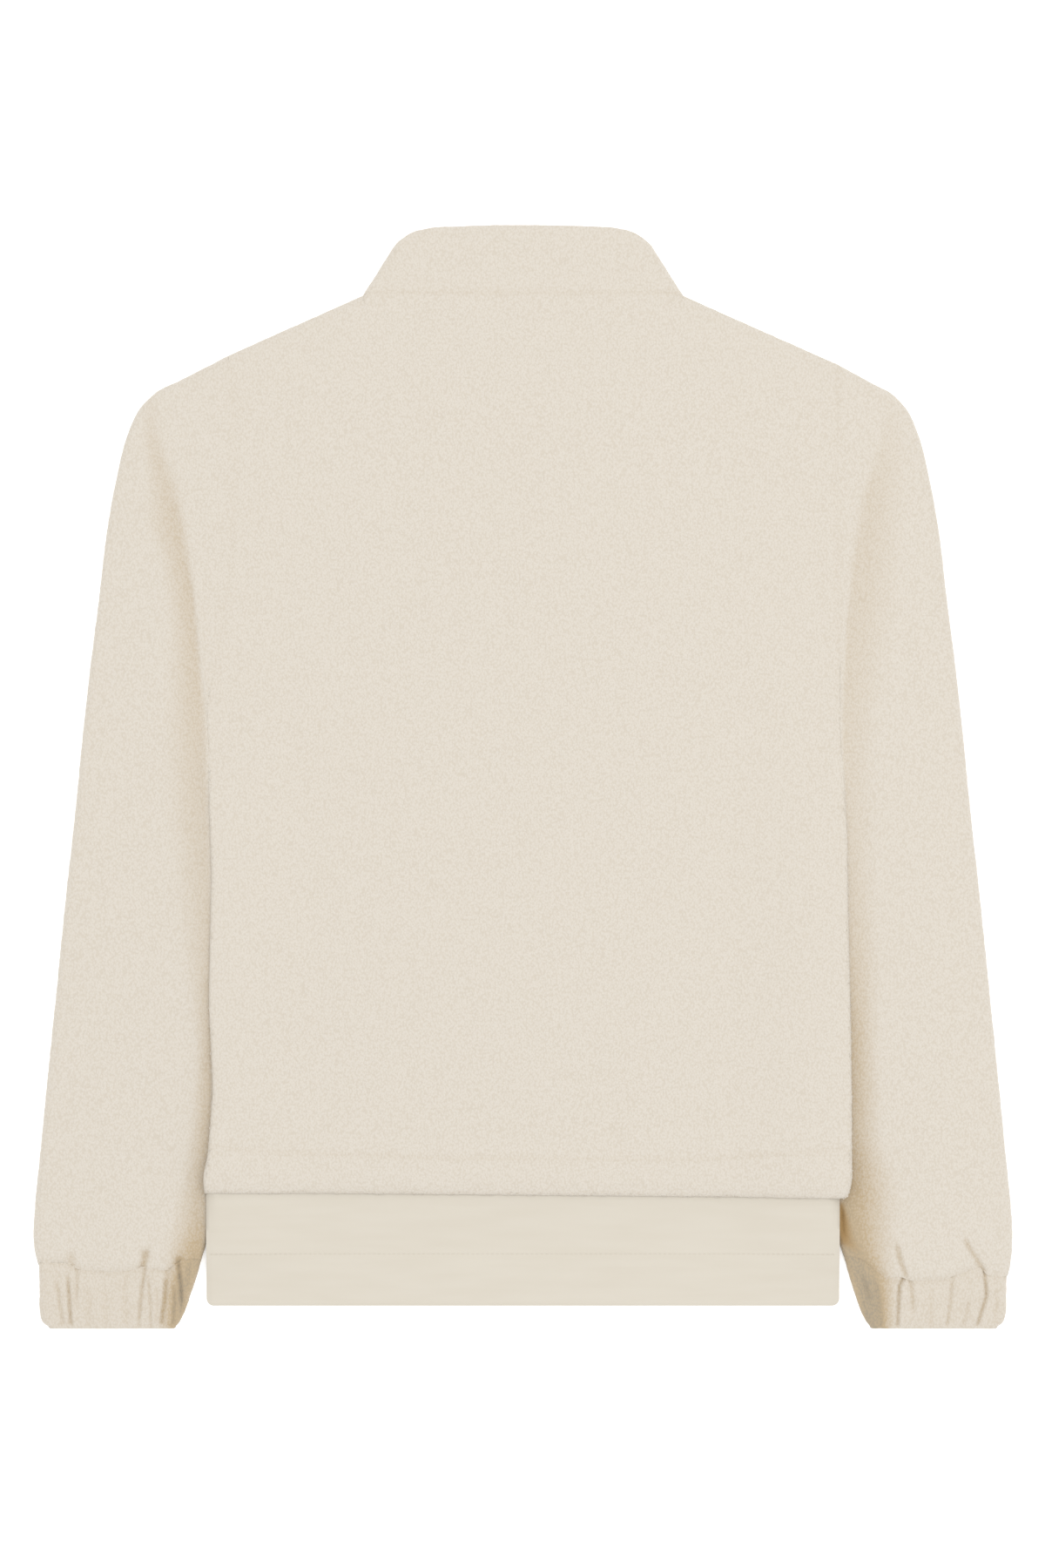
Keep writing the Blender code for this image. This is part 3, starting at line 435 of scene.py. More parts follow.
# The sleeves: flattened tubes. Each cut across is given by its ends; heights are at the inner fold, at the
# body's edge, the middle and the outer fold, tuck is how far the inner end goes in under the body, and square
# is how much squarer than round its inner fold is, where it is sewn or pressed against the body.
sleeve = {
    "step": 1.75, "creaseOuter": (254.5, 263.7), "creaseLip": 9.4, "headCuts": 3, "headShare": 0.9,
    "headSquare": 0.8, "besideBand": 218.5, "bandTopY": -264.0, "notchShadowSoft": 1.5, "notchShadowLow": 2.0,
    "foldWide": 0.06, "foldStations": 8, "topStations": 68, "underStations": 24,
    # outer x, outer y, inner y, tuck, bow, square, and the four heights
    "cuts": ((262.8, 255.4, 34, 1.1, 1, 0.8, 9.2, 9.5, 9, 9.2),
             (272.5, 236, 28, 1.4, 0.7, 0.8, 9.1, 9.9, 9.2, 9.6),
             (280.5, 204.6, 19, 1.8, 0.35, 0.7, 8.9, 10.9, 9.4, 9.6),
             (287, 168, 6, 2.5, 0, 0.5, 8.2, 11.7, 9.6, 9.6),
             (292, 126, -14, 3.6, 0, 0.2, 7.4, 12.6, 9.6, 9.6),
             (298, 78.6, -40, 4.8, 0, 0, 6.5, 12.8, 9.6, 9.6),
             (304, 24, -80, 5, 0, 0, 6.3, 12.2, 9.6, 9.6),
             (309.3, -29.4, -125, 5, 0, 0, 6.3, 11.6, 9.6, 9.6),
             (315.3, -83.4, -170, 5, 0, 0, 6.3, 10.4, 9.6, 9.6),
             (321.6, -146, -212, 5, 0, 0, 6.3, 9.2, 9.6, 9.6),
             (328, -209.4, -246, 5.2, 0, 0, 6.3, 8.6, 9.6, 9.6),
             (333.6, -266, -276, 8.4, 0, 0, 6.3, 7.4, 9.7, 9.6),
             (336.6, -297, -300, 5, 0, 0, 6.3, 6.3, 9.8, 9.6),
             (337.6, -314, -314, 2.2, 0, 0, 6.3, 6.3, 9.9, 9.4),
             (337.2, -325, -325, -0.6, 0, 0, 6.6, 6.6, 9.9, 9.2),
             (336, -332.5, -331, -2.4, 0, 0, 7.4, 7.4, 9.2, 8.8),
             (334.6, -337.4, -335.1, -3.6, 0, 0, 7.4, 7.4, 8, 8)),
    # tucks above the cuff and soft hollows
    "troughsLeft": (((168, 1432), (167, 1442), (163, 1457), 2.2, 2.2, 0.1, 1),
                    ((204, 1440), (205, 1452), (208, 1464), 2.2, 2.6, 0.1, 1),
                    ((80, 1436), (83, 1452), 1, 2.6, 0, 1)),
    "troughsRight": (((1029, 1422), (1033, 1444), (1040, 1464), 1.7, 1.7, 0, 1),
                     ((1106, 1418), (1114, 1434), (1130, 1459), 1.5, 1.6, 0, 1),
                     ((966, 1382), (967, 1400), (969, 1426), 1.2, 1.5, 0, 0.3)),
}
# The cuff's seam wanders up and down along its line in the photograph.
wander = {"middleY": -336.3, "reach": 15.0, "soft": 1.5, "low": 2.0, "over": 4.0}
seamLines = {
    "Left": photoLine((45, 1448), (75, 1449), (87, 1456), (110, 1460), (142, 1460), (162, 1457), (192, 1460),
                      (210, 1449), (226, 1448)),
    "Right": photoLine((971, 1443), (990, 1448), (1003, 1458), (1019, 1470), (1034, 1467), (1045, 1471),
                       (1082, 1470), (1124, 1454), (1135, 1464), (1156, 1464)),
}
# The painted shade beside the body's edge and along the crease above it; creaseShade says what the rows hold.
creases = {
    "Left": ((440, 178, 172, 160, 0), (500, 188, 174, 158, 0.2), (560, 210, 192, 164, 0.33),
             (600, 217, 202, 160, 0.38), (640, 221, 209, 178, 0.4), (680, 226, 218, 184, 0.42),
             (720, 229, 221, 188, 0.4), (760, 232, 225, 186, 0.38), (800, 236, 228, 184, 0.37),
             (840, 242, 230, 181, 0.34), (900, 243, 232, 182, 0.31), (1000, 245, 238, 190, 0.28),
             (1100, 246, 240, 205, 0.3), (1200, 246, 240, 222, 0.45), (1260, 246, 241, 216, 0.5),
             (1300, 245, 238, 212, 0.53), (1340, 243, 233, 206, 0.5), (1400, 242, 232, 190, 0.6),
             (1415, 242, 232, 186, 0.72), (1430, 242, 231, 182, 1), (1450, 240, 227, 184, 1.15),
             (1480, 232, 208, 181, 1.2), (1525, 222, 204, 177, 1.05)),
    "Right": ((440, 1020, 1026, 1046, 0), (500, 1006, 1018, 1048, 0.1), (530, 998, 1012, 1050, 0.16),
              (560, 986, 1000, 1050, 0.22), (600, 981, 993, 1046, 0.24), (640, 975, 986, 1044, 0.25),
              (680, 973, 980, 1042, 0.25), (720, 970, 975, 1038, 0.25), (760, 968, 973, 1030, 0.24),
              (800, 966, 971, 1022, 0.24), (840, 964, 971, 1014, 0.22), (900, 965, 972, 1010, 0.21),
              (1000, 968, 976, 1010, 0.24), (1100, 971, 977, 1016, 0.4), (1200, 972, 979, 1014, 0.65),
              (1260, 972, 979, 1018, 0.65), (1300, 971, 979, 1016, 0.62), (1340, 970, 979, 1032, 0.8),
              (1372, 964, 972, 1042, 1), (1400, 958, 966, 1040, 1.15), (1430, 958, 972, 1036, 1.25),
              (1450, 960, 980, 1032, 1.45), (1480, 966, 998, 1034, 1.65), (1525, 976, 1002, 1032, 1.55)),
}
# The painted shadow, a brown notch, where the sleeve comes out from under the band, in rows like those of the
# creases.
notchShadows = {
    "Left": (),
    "Right": ((1368, 950, 961, 966, 0), (1378, 950, 963, 969, 0.7), (1386, 950, 966, 973, 0.9),
              (1394, 950, 968, 976, 1), (1402, 950, 969, 979, 1), (1410, 950, 969, 982, 1),
              (1418, 950, 970, 984, 0.95), (1426, 950, 970, 988, 0.8), (1433, 964, 980, 992, 0.28),
              (1444, 976, 986, 994, 0)),
}
# Over a flattened tube: where its height leaves that of the inner fold, and how far it takes to reach the
# middle's and then, as shares of the width, the outer fold's.
tube = {"edgeFrom": 0.35, "toMiddle": 24.0, "outerFrom": 0.55, "outerOver": 0.4, "leastTuck": 1.0,
        "wallSpare": 0.2, "foldPoints": 9}


def seamWander(name, points):
    # moves points beside the cuff's seam along the sleeve, so that the seam follows its line
    x, y, z = points[:, :, 0], points[:, :, 1], points[:, :, 2]
    offset = readTable(seamLines[name], x, wander["soft"]) - wander["middleY"]
    beside = np.exp(-((y - wander["middleY"]) / wander["reach"])**2)
    return np.stack([x, y + offset * beside * ease((z - wander["low"]) / wander["over"]), z], axis=-1)


def tuckUnder(ring):
    # moves a tube's end ring into the cloth, so that it is hidden by the piece it is sewn to
    middle = (ring[:, 2].min() + ring[:, 2].max()) / 2
    over = seam["dropOver"]
    ring[:, 2] += seam["drop"] * (1 - 2 * ease((ring[:, 2] - middle + over) / (2 * over)))


def tubeRing(outerTip, innerTip, tuck, bow, square, heights, wall, stations, under):
    # over the top from the inner fold, round the outer fold, and back underneath
    innerHigh, edgeHigh, middleHigh, outerHigh = heights
    span = math.dist(outerTip, innerTip)
    innerRound, outerRound = innerHigh / 2, outerHigh / 2
    innerReach = max(innerRound * (1 - square), wall + tube["wallSpare"])
    overTop = mix(innerReach, span - outerRound, stations)
    reached = max(tuck, tube["leastTuck"])
    topHigh = mix(innerHigh, edgeHigh, ease((overTop / reached - tube["edgeFrom"]) / (1 - tube["edgeFrom"])))
    topHigh = mix(topHigh, middleHigh, ease((overTop - reached) / tube["toMiddle"]))
    topHigh = mix(topHigh, outerHigh, ease((overTop - span * tube["outerFrom"]) / (span * tube["outerOver"])))
    turn = np.linspace(quarter, -quarter, tube["foldPoints"])[1:-1]
    outerSize, innerSize = outerRound - wall, innerRound - wall
    reach = np.concatenate([overTop, span - outerRound + outerSize * np.cos(turn),
                            mix(innerReach, span - outerRound, under),
                            innerReach - (innerReach - wall) * np.cos(turn)])
    height = np.concatenate([topHigh - wall, outerRound + outerSize * np.sin(turn), np.full(len(under), wall),
                             innerRound - innerSize * np.sin(turn)])
    share = reach / span
    x = mix(innerTip[0], outerTip[0], share) - bow * 4 * share * (1 - share)
    return np.stack([x, mix(innerTip[1], outerTip[1], share), height], axis=-1)


def sleeveCuts(side):
    cuts = []
    (shoulderX, shoulderY), (underarmX, underarmY) = side["shoulder"], side["underarm"]
    creaseY, creaseTuck = sleeve["cuts"][0][2:4]
    creaseX = float(sideX(side, creaseY)) - creaseTuck
    shoulderHigh = float(bodyStack(side["sign"] * shoulderX, shoulderY)[1])
    for number in range(sleeve["headCuts"] + 1):
        whole = number / sleeve["headCuts"]
        share = whole * sleeve["headShare"]
        outerX, outerY = (mix(a, b, whole) for a, b in zip(side["shoulder"], sleeve["creaseOuter"]))
        innerX, innerY = mix(underarmX, creaseX, share), mix(underarmY, creaseY, share)
        bow = mix(side["armholeBow"], side["creaseBow"], share)
        heights = [bodyHigh, bodyHigh, mix(bodyHigh, sleeve["creaseLip"], share),
                   mix(shoulderHigh, bodyHigh, whole)]
        cuts.append([outerX, outerY, innerX, innerY, creaseTuck * share, bow, sleeve["headSquare"], *heights])
    for outerX, outerY, innerY, tuck, bow, square, *heights in sleeve["cuts"]:
        edge = sleeve["besideBand"] if innerY < sleeve["bandTopY"] else float(sideX(side, innerY))
        cuts.append([outerX, outerY, edge - tuck, innerY, tuck, bow * side["creaseBow"], square, *heights])
    cuts = np.array(cuts)
    middle = (cuts[:, 0:2] + cuts[:, 2:4]) / 2
    along = np.concatenate([[0], np.cumsum(np.linalg.norm(np.diff(middle, axis=0), axis=1))])
    return along, cuts


def makeSleeve(name):
    side = sides[name]
    along, cuts = sleeveCuts(side)
    dense = throughPoints(along, cuts, np.linspace(0, along[-1], round(along[-1] / sleeve["step"])))
    fold = np.linspace(0, sleeve["foldWide"], sleeve["foldStations"], endpoint=False)
    stations = np.concatenate([fold, np.linspace(sleeve["foldWide"], 1, sleeve["topStations"])])
    under = np.linspace(1, 0, sleeve["underStations"])
    layers = []
    for wall in (0.0, body["cloth"]):
        rings = np.array([tubeRing(cut[0:2], cut[2:4], *cut[4:7], cut[7:], wall, stations, under)
                          for cut in dense])
        rings[:, :, 0] *= side["sign"]
        rings = np.concatenate([rings[:1] - [side["sign"] * seam["lap"], 0, 0], rings])
        tuckUnder(rings[0])
        layers.append(seamWander(name, rings))
    troughs = photoTroughs(sleeve["troughs" + name])
    troughs += [(armholeSeams[name], *seam["armholeGroove"]), (seamLines[name], *seam["groove"])]
    outer, paintedShade = knitted(layers[0], layers[1], True, troughs, creases[name])
    piece = makeWall("sleeve" + name, outer, layers[1], paintedShade, ring=True)
    x, y, z = (outer[:, :, part] for part in range(3))
    # painted shadow: the sleeve's colour turns brown where it comes out from under the band
    notchShadow = creaseShade(x, y, notchShadows[name], sleeve["notchShadowSoft"]) * ease(z / sleeve["notchShadowLow"] - 1)
    addValues(piece.data, "notchShadow", notchShadow)
    return piece


# The cuffs: short tubes gathered on elastic.
cuff = {
    "outerSeamY": -337.4, "innerSeamY": -335.1, "innerDrop": 0.6, "innerLonger": 1.055, "long": 42.0,
    "wide": 110.0, "step": 1.0, "tuck": 5.0, "underStations": 36, "edgeTurn": 1.35, "edgeRows": 4,
    # painted shade laid evenly over the whole cuff
    "shade": 0.1,
    # how far below the seam, outer x, inner x, height
    "rows": ((0, 333.9, 222.2, 8), (6, 333.7, 223.8, 8.6), (20, 333.5, 228.7, 8.8), (33, 333.2, 233.6, 8.6),
             (37, 332.3, 235.7, 8.5), (40, 330.4, 237.6, 8.3), (42, 327.6, 239.2, 7.6)),
    # furrows of the gathers: places in the photograph, deep, half width, ends
    "furrowsLeft": (
        ((64, 1466), (68, 1494), (72, 1520), 0.9, 1.3, 0.1, 1),
        ((77, 1460), (79, 1488), (81, 1520), 1.7, 1.2, 0.1, 1),
        ((88, 1452), (88, 1478), (87, 1500), 0.9, 1.2, 1, 0),
        ((101, 1470), (103, 1495), (100, 1520), 0.4, 1.8, 0, 1),
        ((122, 1475), (120, 1495), (121, 1520), 0.3, 2, 0, 1),
        ((145, 1462), (143, 1490), (146, 1520), 0.35, 2, 1, 1),
        ((166, 1456), (162, 1485), (159, 1522), 1.4, 1.2, 1, 0.6),
        ((170, 1464), (172, 1490), (173, 1522), 0.9, 1.1, 0.5, 1),
        ((181, 1470), (180, 1495), (179, 1520), 0.5, 1.2, 0, 1),
        ((191, 1460), (189, 1488), (185, 1518), 1.8, 1.4, 0.4, 1),
        ((199, 1470), (200, 1495), (198, 1520), 1.2, 1.1, 0.2, 0.8),
        ((204, 1450), (207, 1474), (209, 1508), 2.3, 1.3, 1, 0.5),
        ((216, 1452), (215, 1470), (213, 1486), 0.6, 1.2, 1, 0)),
    "furrowsRight": (
        ((976, 1450), (988, 1485), (998, 1518), 0.8, 1.4, 0.4, 1),
        ((988, 1458), (995, 1480), (1000, 1500), 1.2, 1.4, 0.3, 0.2),
        ((1003, 1462), (1009, 1490), (1012, 1522), 0.9, 1.8, 0.5, 1),
        ((1040, 1463), (1033, 1476), (1031, 1522), 1.9, 1.2, 1, 0.8),
        ((1046, 1470), (1048, 1487), (1050, 1512), 1.1, 1.4, 1, 0.2),
        ((1068, 1478), (1070, 1500), (1069, 1521), 0.4, 1.8, 0, 1),
        ((1094, 1466), (1092, 1490), (1088, 1520), 1, 1.2, 0.6, 1),
        ((1113, 1488), (1111, 1505), (1107, 1520), 0.7, 1.3, 0, 1),
        ((1131, 1458), (1133, 1488), (1123, 1520), 1.7, 1.2, 1, 1),
        ((1144, 1475), (1145, 1498), (1143, 1518), 0.4, 1.5, 0, 1)),
}


def makeCuff(name):
    side = sides[name]
    below = np.concatenate([[-seam["lap"]], np.linspace(0, cuff["long"], round(cuff["long"] / cuff["step"]))])
    rows = np.array(cuff["rows"])
    dense = throughPoints(rows[:, 0], rows[:, 1:], np.maximum(below, 0))
    stations = np.linspace(0, 1, round(cuff["wide"] / cuff["step"]))
    under = np.linspace(1, 0, cuff["underStations"])
    layers = []
    for wall in (0.0, body["cloth"]):
        rings = []
        for down, (outerX, innerX, high) in zip(below, dense):
            outerTip = (outerX, cuff["outerSeamY"] - down)
            innerTip = (innerX, cuff["innerSeamY"] - down * cuff["innerLonger"])
            heights = (high - cuff["innerDrop"], high - cuff["innerDrop"], high, high)
            rings.append(tubeRing(outerTip, innerTip, cuff["tuck"], 0.0, 0.0, heights, wall, stations, under))
        rings = np.array(rings)
        rings[:, :, 0] *= side["sign"]
        tuckUnder(rings[0])
        layers.append(seamWander(name, rings))
    furrows = photoTroughs(cuff["furrows" + name]) + [(seamLines[name], *seam["groove"])]
    outer, paintedShade = knitted(layers[0], layers[1], True, furrows, creases[name])
    # painted shade laid evenly over the whole cuff
    paintedShade = paintedShade + cuff["shade"]
    # the end is turned in, so its edge is round
    inner, half = layers[1], body["cloth"] / 2
    middle = (outer[-1] + inner[-1]) / 2
    rounded = [middle + (outer[-1] - middle) * math.cos(turn) + np.array([0, -1, 0]) * half * math.sin(turn)
               for turn in np.linspace(0, cuff["edgeTurn"], cuff["edgeRows"])[1:]]
    outer = np.concatenate([outer, rounded])
    inner, paintedShade = (np.concatenate([layer, [layer[-1]] * len(rounded)]) for layer in (inner, paintedShade))
    return makeWall("cuff" + name, outer, inner, paintedShade, ring=True, every=3)


# The collar stands in wear and lies folded here: half of it, from the centre back to the zip.
collar = {
    "cloth": 3.3, "edgeHigh": 9.0, "corner": (88.5, 366.2), "step": 1.6, "degreesPerMm": 20,
    "wallRise": 0.93, "wallRows": 28, "edgeRise": (0.95, 0.965, 0.98, 0.99, 1.0), "edgeFrom": 0.965,
    "edgeMost": 0.995,
    # x at the neck, degrees round the fold, x and y of the top edge
    "cuts": ((0, 0, 0, 379.8), (26, 0, 21, 379.6), (52, 0, 42, 379), (85, 0, 68, 377),
             (105.4, 0, 80.5, 372.4), (109.1, 45, 85.9, 368.7), (110.7, 90, 88.5, 366),
             (109.1, 135, 87.5, 361), (105.4, 180, 83, 355), (80, 180, 62, 333), (55, 180, 42, 314.5),
             (30, 180, 22.5, 303.5), (6, 180, 6, 299.5)),
}


def collarHalf(sign):
    cuts = np.array(collar["cuts"], float)
    neckHigh = float(readTable(body["underside"], body["backNeckY"])) + body["cloth"]
    neckLevel = np.where(cuts[:, 1] <= 90, neckY(cuts[:, 0], True), neckY(cuts[:, 0], False))
    table = np.column_stack([cuts[:, 0], neckLevel, cuts[:, 1:]])
    steps = np.linalg.norm(np.diff(table[:, :2], axis=0), axis=1)
    along = np.concatenate([[0], np.cumsum(steps + np.diff(cuts[:, 1]) / collar["degreesPerMm"])])
    dense = throughPoints(along, table, np.linspace(0, along[-1], round(along[-1] / collar["step"])))
    fold = np.radians(np.clip(dense[:, 2], 0, 180))
    inwards, upwards = body["neckHalf"] - collar["corner"][0], collar["corner"][1] - body["neckPointY"]
    outwards = np.array([upwards, inwards]) / math.hypot(inwards, upwards)
    rise = np.concatenate([[-seam["lap"] / upwards], np.linspace(0, collar["wallRise"], collar["wallRows"]),
                           collar["edgeRise"]])
    overEdge = ((rise - collar["edgeFrom"]) / (1 - collar["edgeFrom"])).clip(0, collar["edgeMost"])
    thick = np.sqrt(np.clip(1 - overEdge**2, 0, 1))
    ends = []
    for place, high, out in ((dense[:, 0:2], neckHigh, np.array([1.0, 0.0])),
                             (dense[:, 3:5], collar["edgeHigh"], outwards)):
        height = high / 2 * (1 + np.cos(fold))
        ends.append((np.column_stack([place, height]),
                     np.column_stack([place - out * collar["cloth"] * np.sin(fold)[:, None],
                                      height - collar["cloth"] * np.cos(fold)])))
    walls = [mix(ends[0][layer][None], ends[1][layer][None], rise[:, None, None]) for layer in (0, 1)]
    middle = (walls[0] + walls[1]) / 2
    layers = [middle + (wall - middle) * thick[:, None, None] for wall in walls]
    for layer in layers:
        layer[:, :, 0] *= sign
        layer[0, :, 2] -= seam["drop"] * np.cos(fold)
    return layers


def makeCollar():
    left, right = collarHalf(-1), collarHalf(1)
    outer, inner = (np.concatenate([left[layer][:, :0:-1], right[layer]], axis=1) for layer in (0, 1))
    shaped, paintedShade = knitted(outer, inner, troughs=[(neckSeam, *seam["groove"])])
    return makeWall("collarWall", shaped, inner, paintedShade, every=3)


# The hem band: smooth woven cloth below the bouclé, its top edge tucked in under the turned hem.
band = {
    "cloth": 1.4, "half": 218.3, "tuckedHalf": 211.5, "tuckedFrom": -284.5, "topY": -264.0, "bottomY": -365.4,
    "corner": 5.0, "cornerRows": 8, "step": 2.6, "frontTopY": -291.2, "seamGap": 0.3, "sideSeam": 7.0,
    "sideFade": 4.0, "liftSoft": 6.0, "undersideSoft": 5.0,
    "underside": ((-352, 1.7), (-325, 1.9), (-312, 2.9), (-300, 4.5), (-289, 5.65), (-264, 5.65)),
    "rippleWide": 60, "rippleLong": 30, "rippleHigh": 0.15, "edgeRound": 1.6, "edgeThin": 0.55,
    "underThin": 0.3, "rippleFrom": 0.5,
    "topstitchY": -329.6, "topstitchDeep": 0.22, "topstitchWide": 1.1, "stitchEvery": 3.4, "stitchLong": 2.5,
    "stitchHigh": (-0.1, 0.12, -0.1), "thread": 0.22,
}


def backUnderside(x, y, reach):
    # below the hem the sides come down to the front's band, where the two are sewn together
    atSide = ease((abs(x) - reach + band["sideSeam"]) / band["sideSeam"])
    atSide = atSide * ease((band["tuckedFrom"] - y) / band["sideFade"])
    return mix(readTable(band["underside"], y, band["undersideSoft"]), band["underside"][0][1], atSide)


def frontUnderside(x, y, reach):
    return y * 0.0


def makeBandLayer(name, left, right, topY, underside):
    edgeRows = [band["bottomY"] + band["corner"] * (1 - math.cos(turn))
                for turn in np.linspace(quarter, 0, band["cornerRows"])]
    flatRows = np.linspace(topY, edgeRows[0], round((topY - edgeRows[0]) / band["step"]), endpoint=False)
    rowY = np.concatenate([flatRows, edgeRows])
    columns = np.linspace(left, right, round((right - left) / band["step"]))
    reach = np.where(rowY > band["tuckedFrom"], band["tuckedHalf"], band["half"])
    into = np.clip(band["bottomY"] + band["corner"] - rowY, 0, band["corner"])
    reach = (reach - band["corner"] + np.sqrt(band["corner"]**2 - into**2))[:, None]
    x = np.clip(columns[None, :], -reach, reach)
    y = np.repeat(rowY[:, None], len(columns), axis=1)
    low = underside(x, y, reach) + sideLift(x, y, band["liftSoft"])
    ripple = [[noise.noise(Vector((a / band["rippleWide"], b / band["rippleLong"], 0))) for a, b in zip(*row)]
              for row in zip(x, y)]
    ripple = np.array(ripple) * band["rippleHigh"]
    fromEdge = np.minimum(reach - abs(x), y - band["bottomY"])
    thin = band["edgeThin"] * ease(1 - fromEdge / band["edgeRound"])
    stitched = band["topstitchDeep"] * np.exp(-((y - band["topstitchY"]) / band["topstitchWide"])**2)
    top = np.stack([x, y, low + band["cloth"] + ripple - thin - stitched], axis=-1)
    resting = np.where(low > band["rippleFrom"], ripple, 0.0) + np.minimum(thin, band["underThin"])
    under = np.stack([x, y, low + resting], axis=-1)
    stitches = ([], [])
    row = int(np.argmin(abs(rowY - band["topstitchY"])))
    for place in np.arange(left + band["stitchEvery"], right - band["stitchEvery"], band["stitchEvery"]):
        ends = place + np.array([-0.5, 0.0, 0.5]) * band["stitchLong"]
        heights = np.interp(ends, top[row, :, 0], top[row, :, 2]) + np.array(band["stitchHigh"])
        path = [Vector((x, band["topstitchY"], z)) for x, z in zip(ends, heights)]
        addYarn(stitches, path, Vector((0, 1, 0)), band["thread"])
    yarn = stitches if name == "hemBandBack" else ((), ())
    return makeWall(name, top, under, np.zeros(top.shape[:2]), every=3, yarn=yarn)


def makeBand():
    layers = (("Back", -band["half"], band["half"], band["topY"], backUnderside),
              ("FrontLeft", -band["half"], -band["seamGap"], band["frontTopY"], frontUnderside),
              ("FrontRight", band["seamGap"], band["half"], band["frontTopY"], frontUnderside))
    return [makeBandLayer("hemBand" + name, *layer) for name, *layer in layers]


# The zip: its tapes show inside the front opening, with teeth between them, a box at the lower end, and the
# slider and its pull at the top. Boxes are given by their lowest and highest corners.
zipper = {
    "tapeIn": 2.9, "tapeOut": 16.0, "tapeLow": 3.6, "tapeThick": 0.5, "bottomY": -288.0, "topY": 299.0,
    "tapeColumns": 7, "step": 2.6,
    "tooth": ((-2.6, -0.5, 3.35), (0.5, 0.5, 5.05)), "toothNub": 0.5, "nubInset": 0.28, "toothEvery": 2.4,
    "firstTooth": -278.9, "teeth": 238, "edge": 0.16, "plateEdge": 0.28, "boxEdge": 0.35,
    "bevelSteps": 2, "sharpAngle": 40,
    "box": ((-2.6, -288.0, 2.7), (2.6, -280.0, 5.1)),
    "plates": (((-3.7, 286.2, 2.2), (3.7, 295.8, 3.0)), ((-3.7, 286.2, 5.4), (3.7, 295.8, 6.2))),
    "plateTaper": 0.78,
    # the wedge between the plates, then the arch that carries the pull: its bar and its legs
    "sliderParts": (((-1.2, 293.2, 2.6), (1.2, 295.4, 5.8)), ((-0.8, 287.6, 0.1), (0.8, 294.4, 0.7)),
                    ((-0.8, 287.6, 0.3), (0.8, 288.6, 2.6)), ((-0.8, 293.4, 0.3), (0.8, 294.4, 2.6))),
    "pullEye": ((-2.5, 285.0, 1.0), (2.5, 291.4, 1.8)), "pullBar": 0.8, "pullDrop": 17.6, "pullTaper": 0.8,
}


def makeTape(name, sign):
    across = np.linspace(zipper["tapeIn"], zipper["tapeOut"], zipper["tapeColumns"]) * sign
    rows = round((zipper["topY"] - zipper["bottomY"]) / zipper["step"])
    x, y = np.meshgrid(across, np.linspace(zipper["topY"], zipper["bottomY"], rows))
    under = np.stack([x, y, np.full(x.shape, zipper["tapeLow"])], axis=-1)
    return makeWall("zipTape" + name, under + [0, 0, zipper["tapeThick"]], under, np.zeros(x.shape), every=1)


def startBox(name, corners):
    low, high = corners
    bpy.ops.object.select_all(action="DESELECT")
    bpy.ops.mesh.primitive_cube_add(size=1, location=[(a + b) / 2 * mm for a, b in zip(low, high)])
    box = bpy.context.object
    box.name = box.data.name = name
    box.scale = [(b - a) * mm for a, b in zip(low, high)]
    bpy.ops.object.transform_apply(location=True, rotation=False, scale=True)
    return box


def editFaces(piece, chosen, *changes):
    # picks faces by their place or normal, then makes the changes in edit mode
    for face in piece.data.polygons:
        face.select = bool(chosen(face))
    for part in (*piece.data.edges, *piece.data.vertices):
        part.select = False
    bpy.ops.object.mode_set(mode="EDIT")
    bpy.ops.mesh.select_mode(type="FACE")
    for change, settings in changes:
        change(**settings)
    bpy.ops.object.mode_set(mode="OBJECT")


def roundEdges(piece, size):
    bevel = piece.modifiers.new("roundEdges", "BEVEL")
    bevel.width, bevel.segments, bevel.limit_method = size * mm, zipper["bevelSteps"], "ANGLE"
    bpy.context.view_layer.objects.active = piece
    bpy.ops.object.modifier_apply(modifier=bevel.name)
    piece.data.shade_smooth()
    piece.data.set_sharp_from_angle(angle=math.radians(zipper["sharpAngle"]))


def joined(name, parts):
    bpy.ops.object.select_all(action="DESELECT")
    for part in parts:
        part.select_set(True)
    bpy.context.view_layer.objects.active = parts[0]
    bpy.ops.object.join()
    parts[0].name = parts[0].data.name = name
    return parts[0]


def makeTeeth():
    rows = []
    for number, sign in enumerate((1, -1)):
        tooth = startBox("tooth", zipper["tooth"])
        # the nub on the head that the next tooth hooks over
        editFaces(tooth, lambda face: face.normal.x > 0.9,
                  (bpy.ops.mesh.inset, {"thickness": zipper["nubInset"] * mm}),
                  (bpy.ops.mesh.extrude_region_move,
                   {"TRANSFORM_OT_translate": {"value": (zipper["toothNub"] * mm, 0, 0)}}))
        roundEdges(tooth, zipper["edge"])
        for corner in tooth.data.vertices:
            corner.co.x *= sign
            corner.co.y += (zipper["firstTooth"] + zipper["toothEvery"] * number / 2) * mm
        if sign < 0:
            tooth.data.flip_normals()
        row = tooth.modifiers.new("row", "ARRAY")
        row.count, row.use_relative_offset, row.use_constant_offset = zipper["teeth"], False, True
        row.constant_offset_displace = (0, zipper["toothEvery"] * mm, 0)
        bpy.ops.object.modifier_apply(modifier=row.name)
        rows.append(tooth)
    return joined("zipTeeth", rows)


def makeSlider():
    parts = []
    for low, high in zipper["plates"]:
        parts.append(startBox("plate", (low, high)))
        # narrower at its lower end, where the closed teeth come out
        taper = {"value": (zipper["plateTaper"], 1, 1), "center_override": (0, low[1] * mm, low[2] * mm)}
        editFaces(parts[-1], lambda face: face.normal.y < -0.9, (bpy.ops.transform.resize, taper))
    parts += [startBox("part", corners) for corners in zipper["sliderParts"]]
    for part in parts:
        roundEdges(part, zipper["plateEdge"])
    return joined("zipSlider", parts)


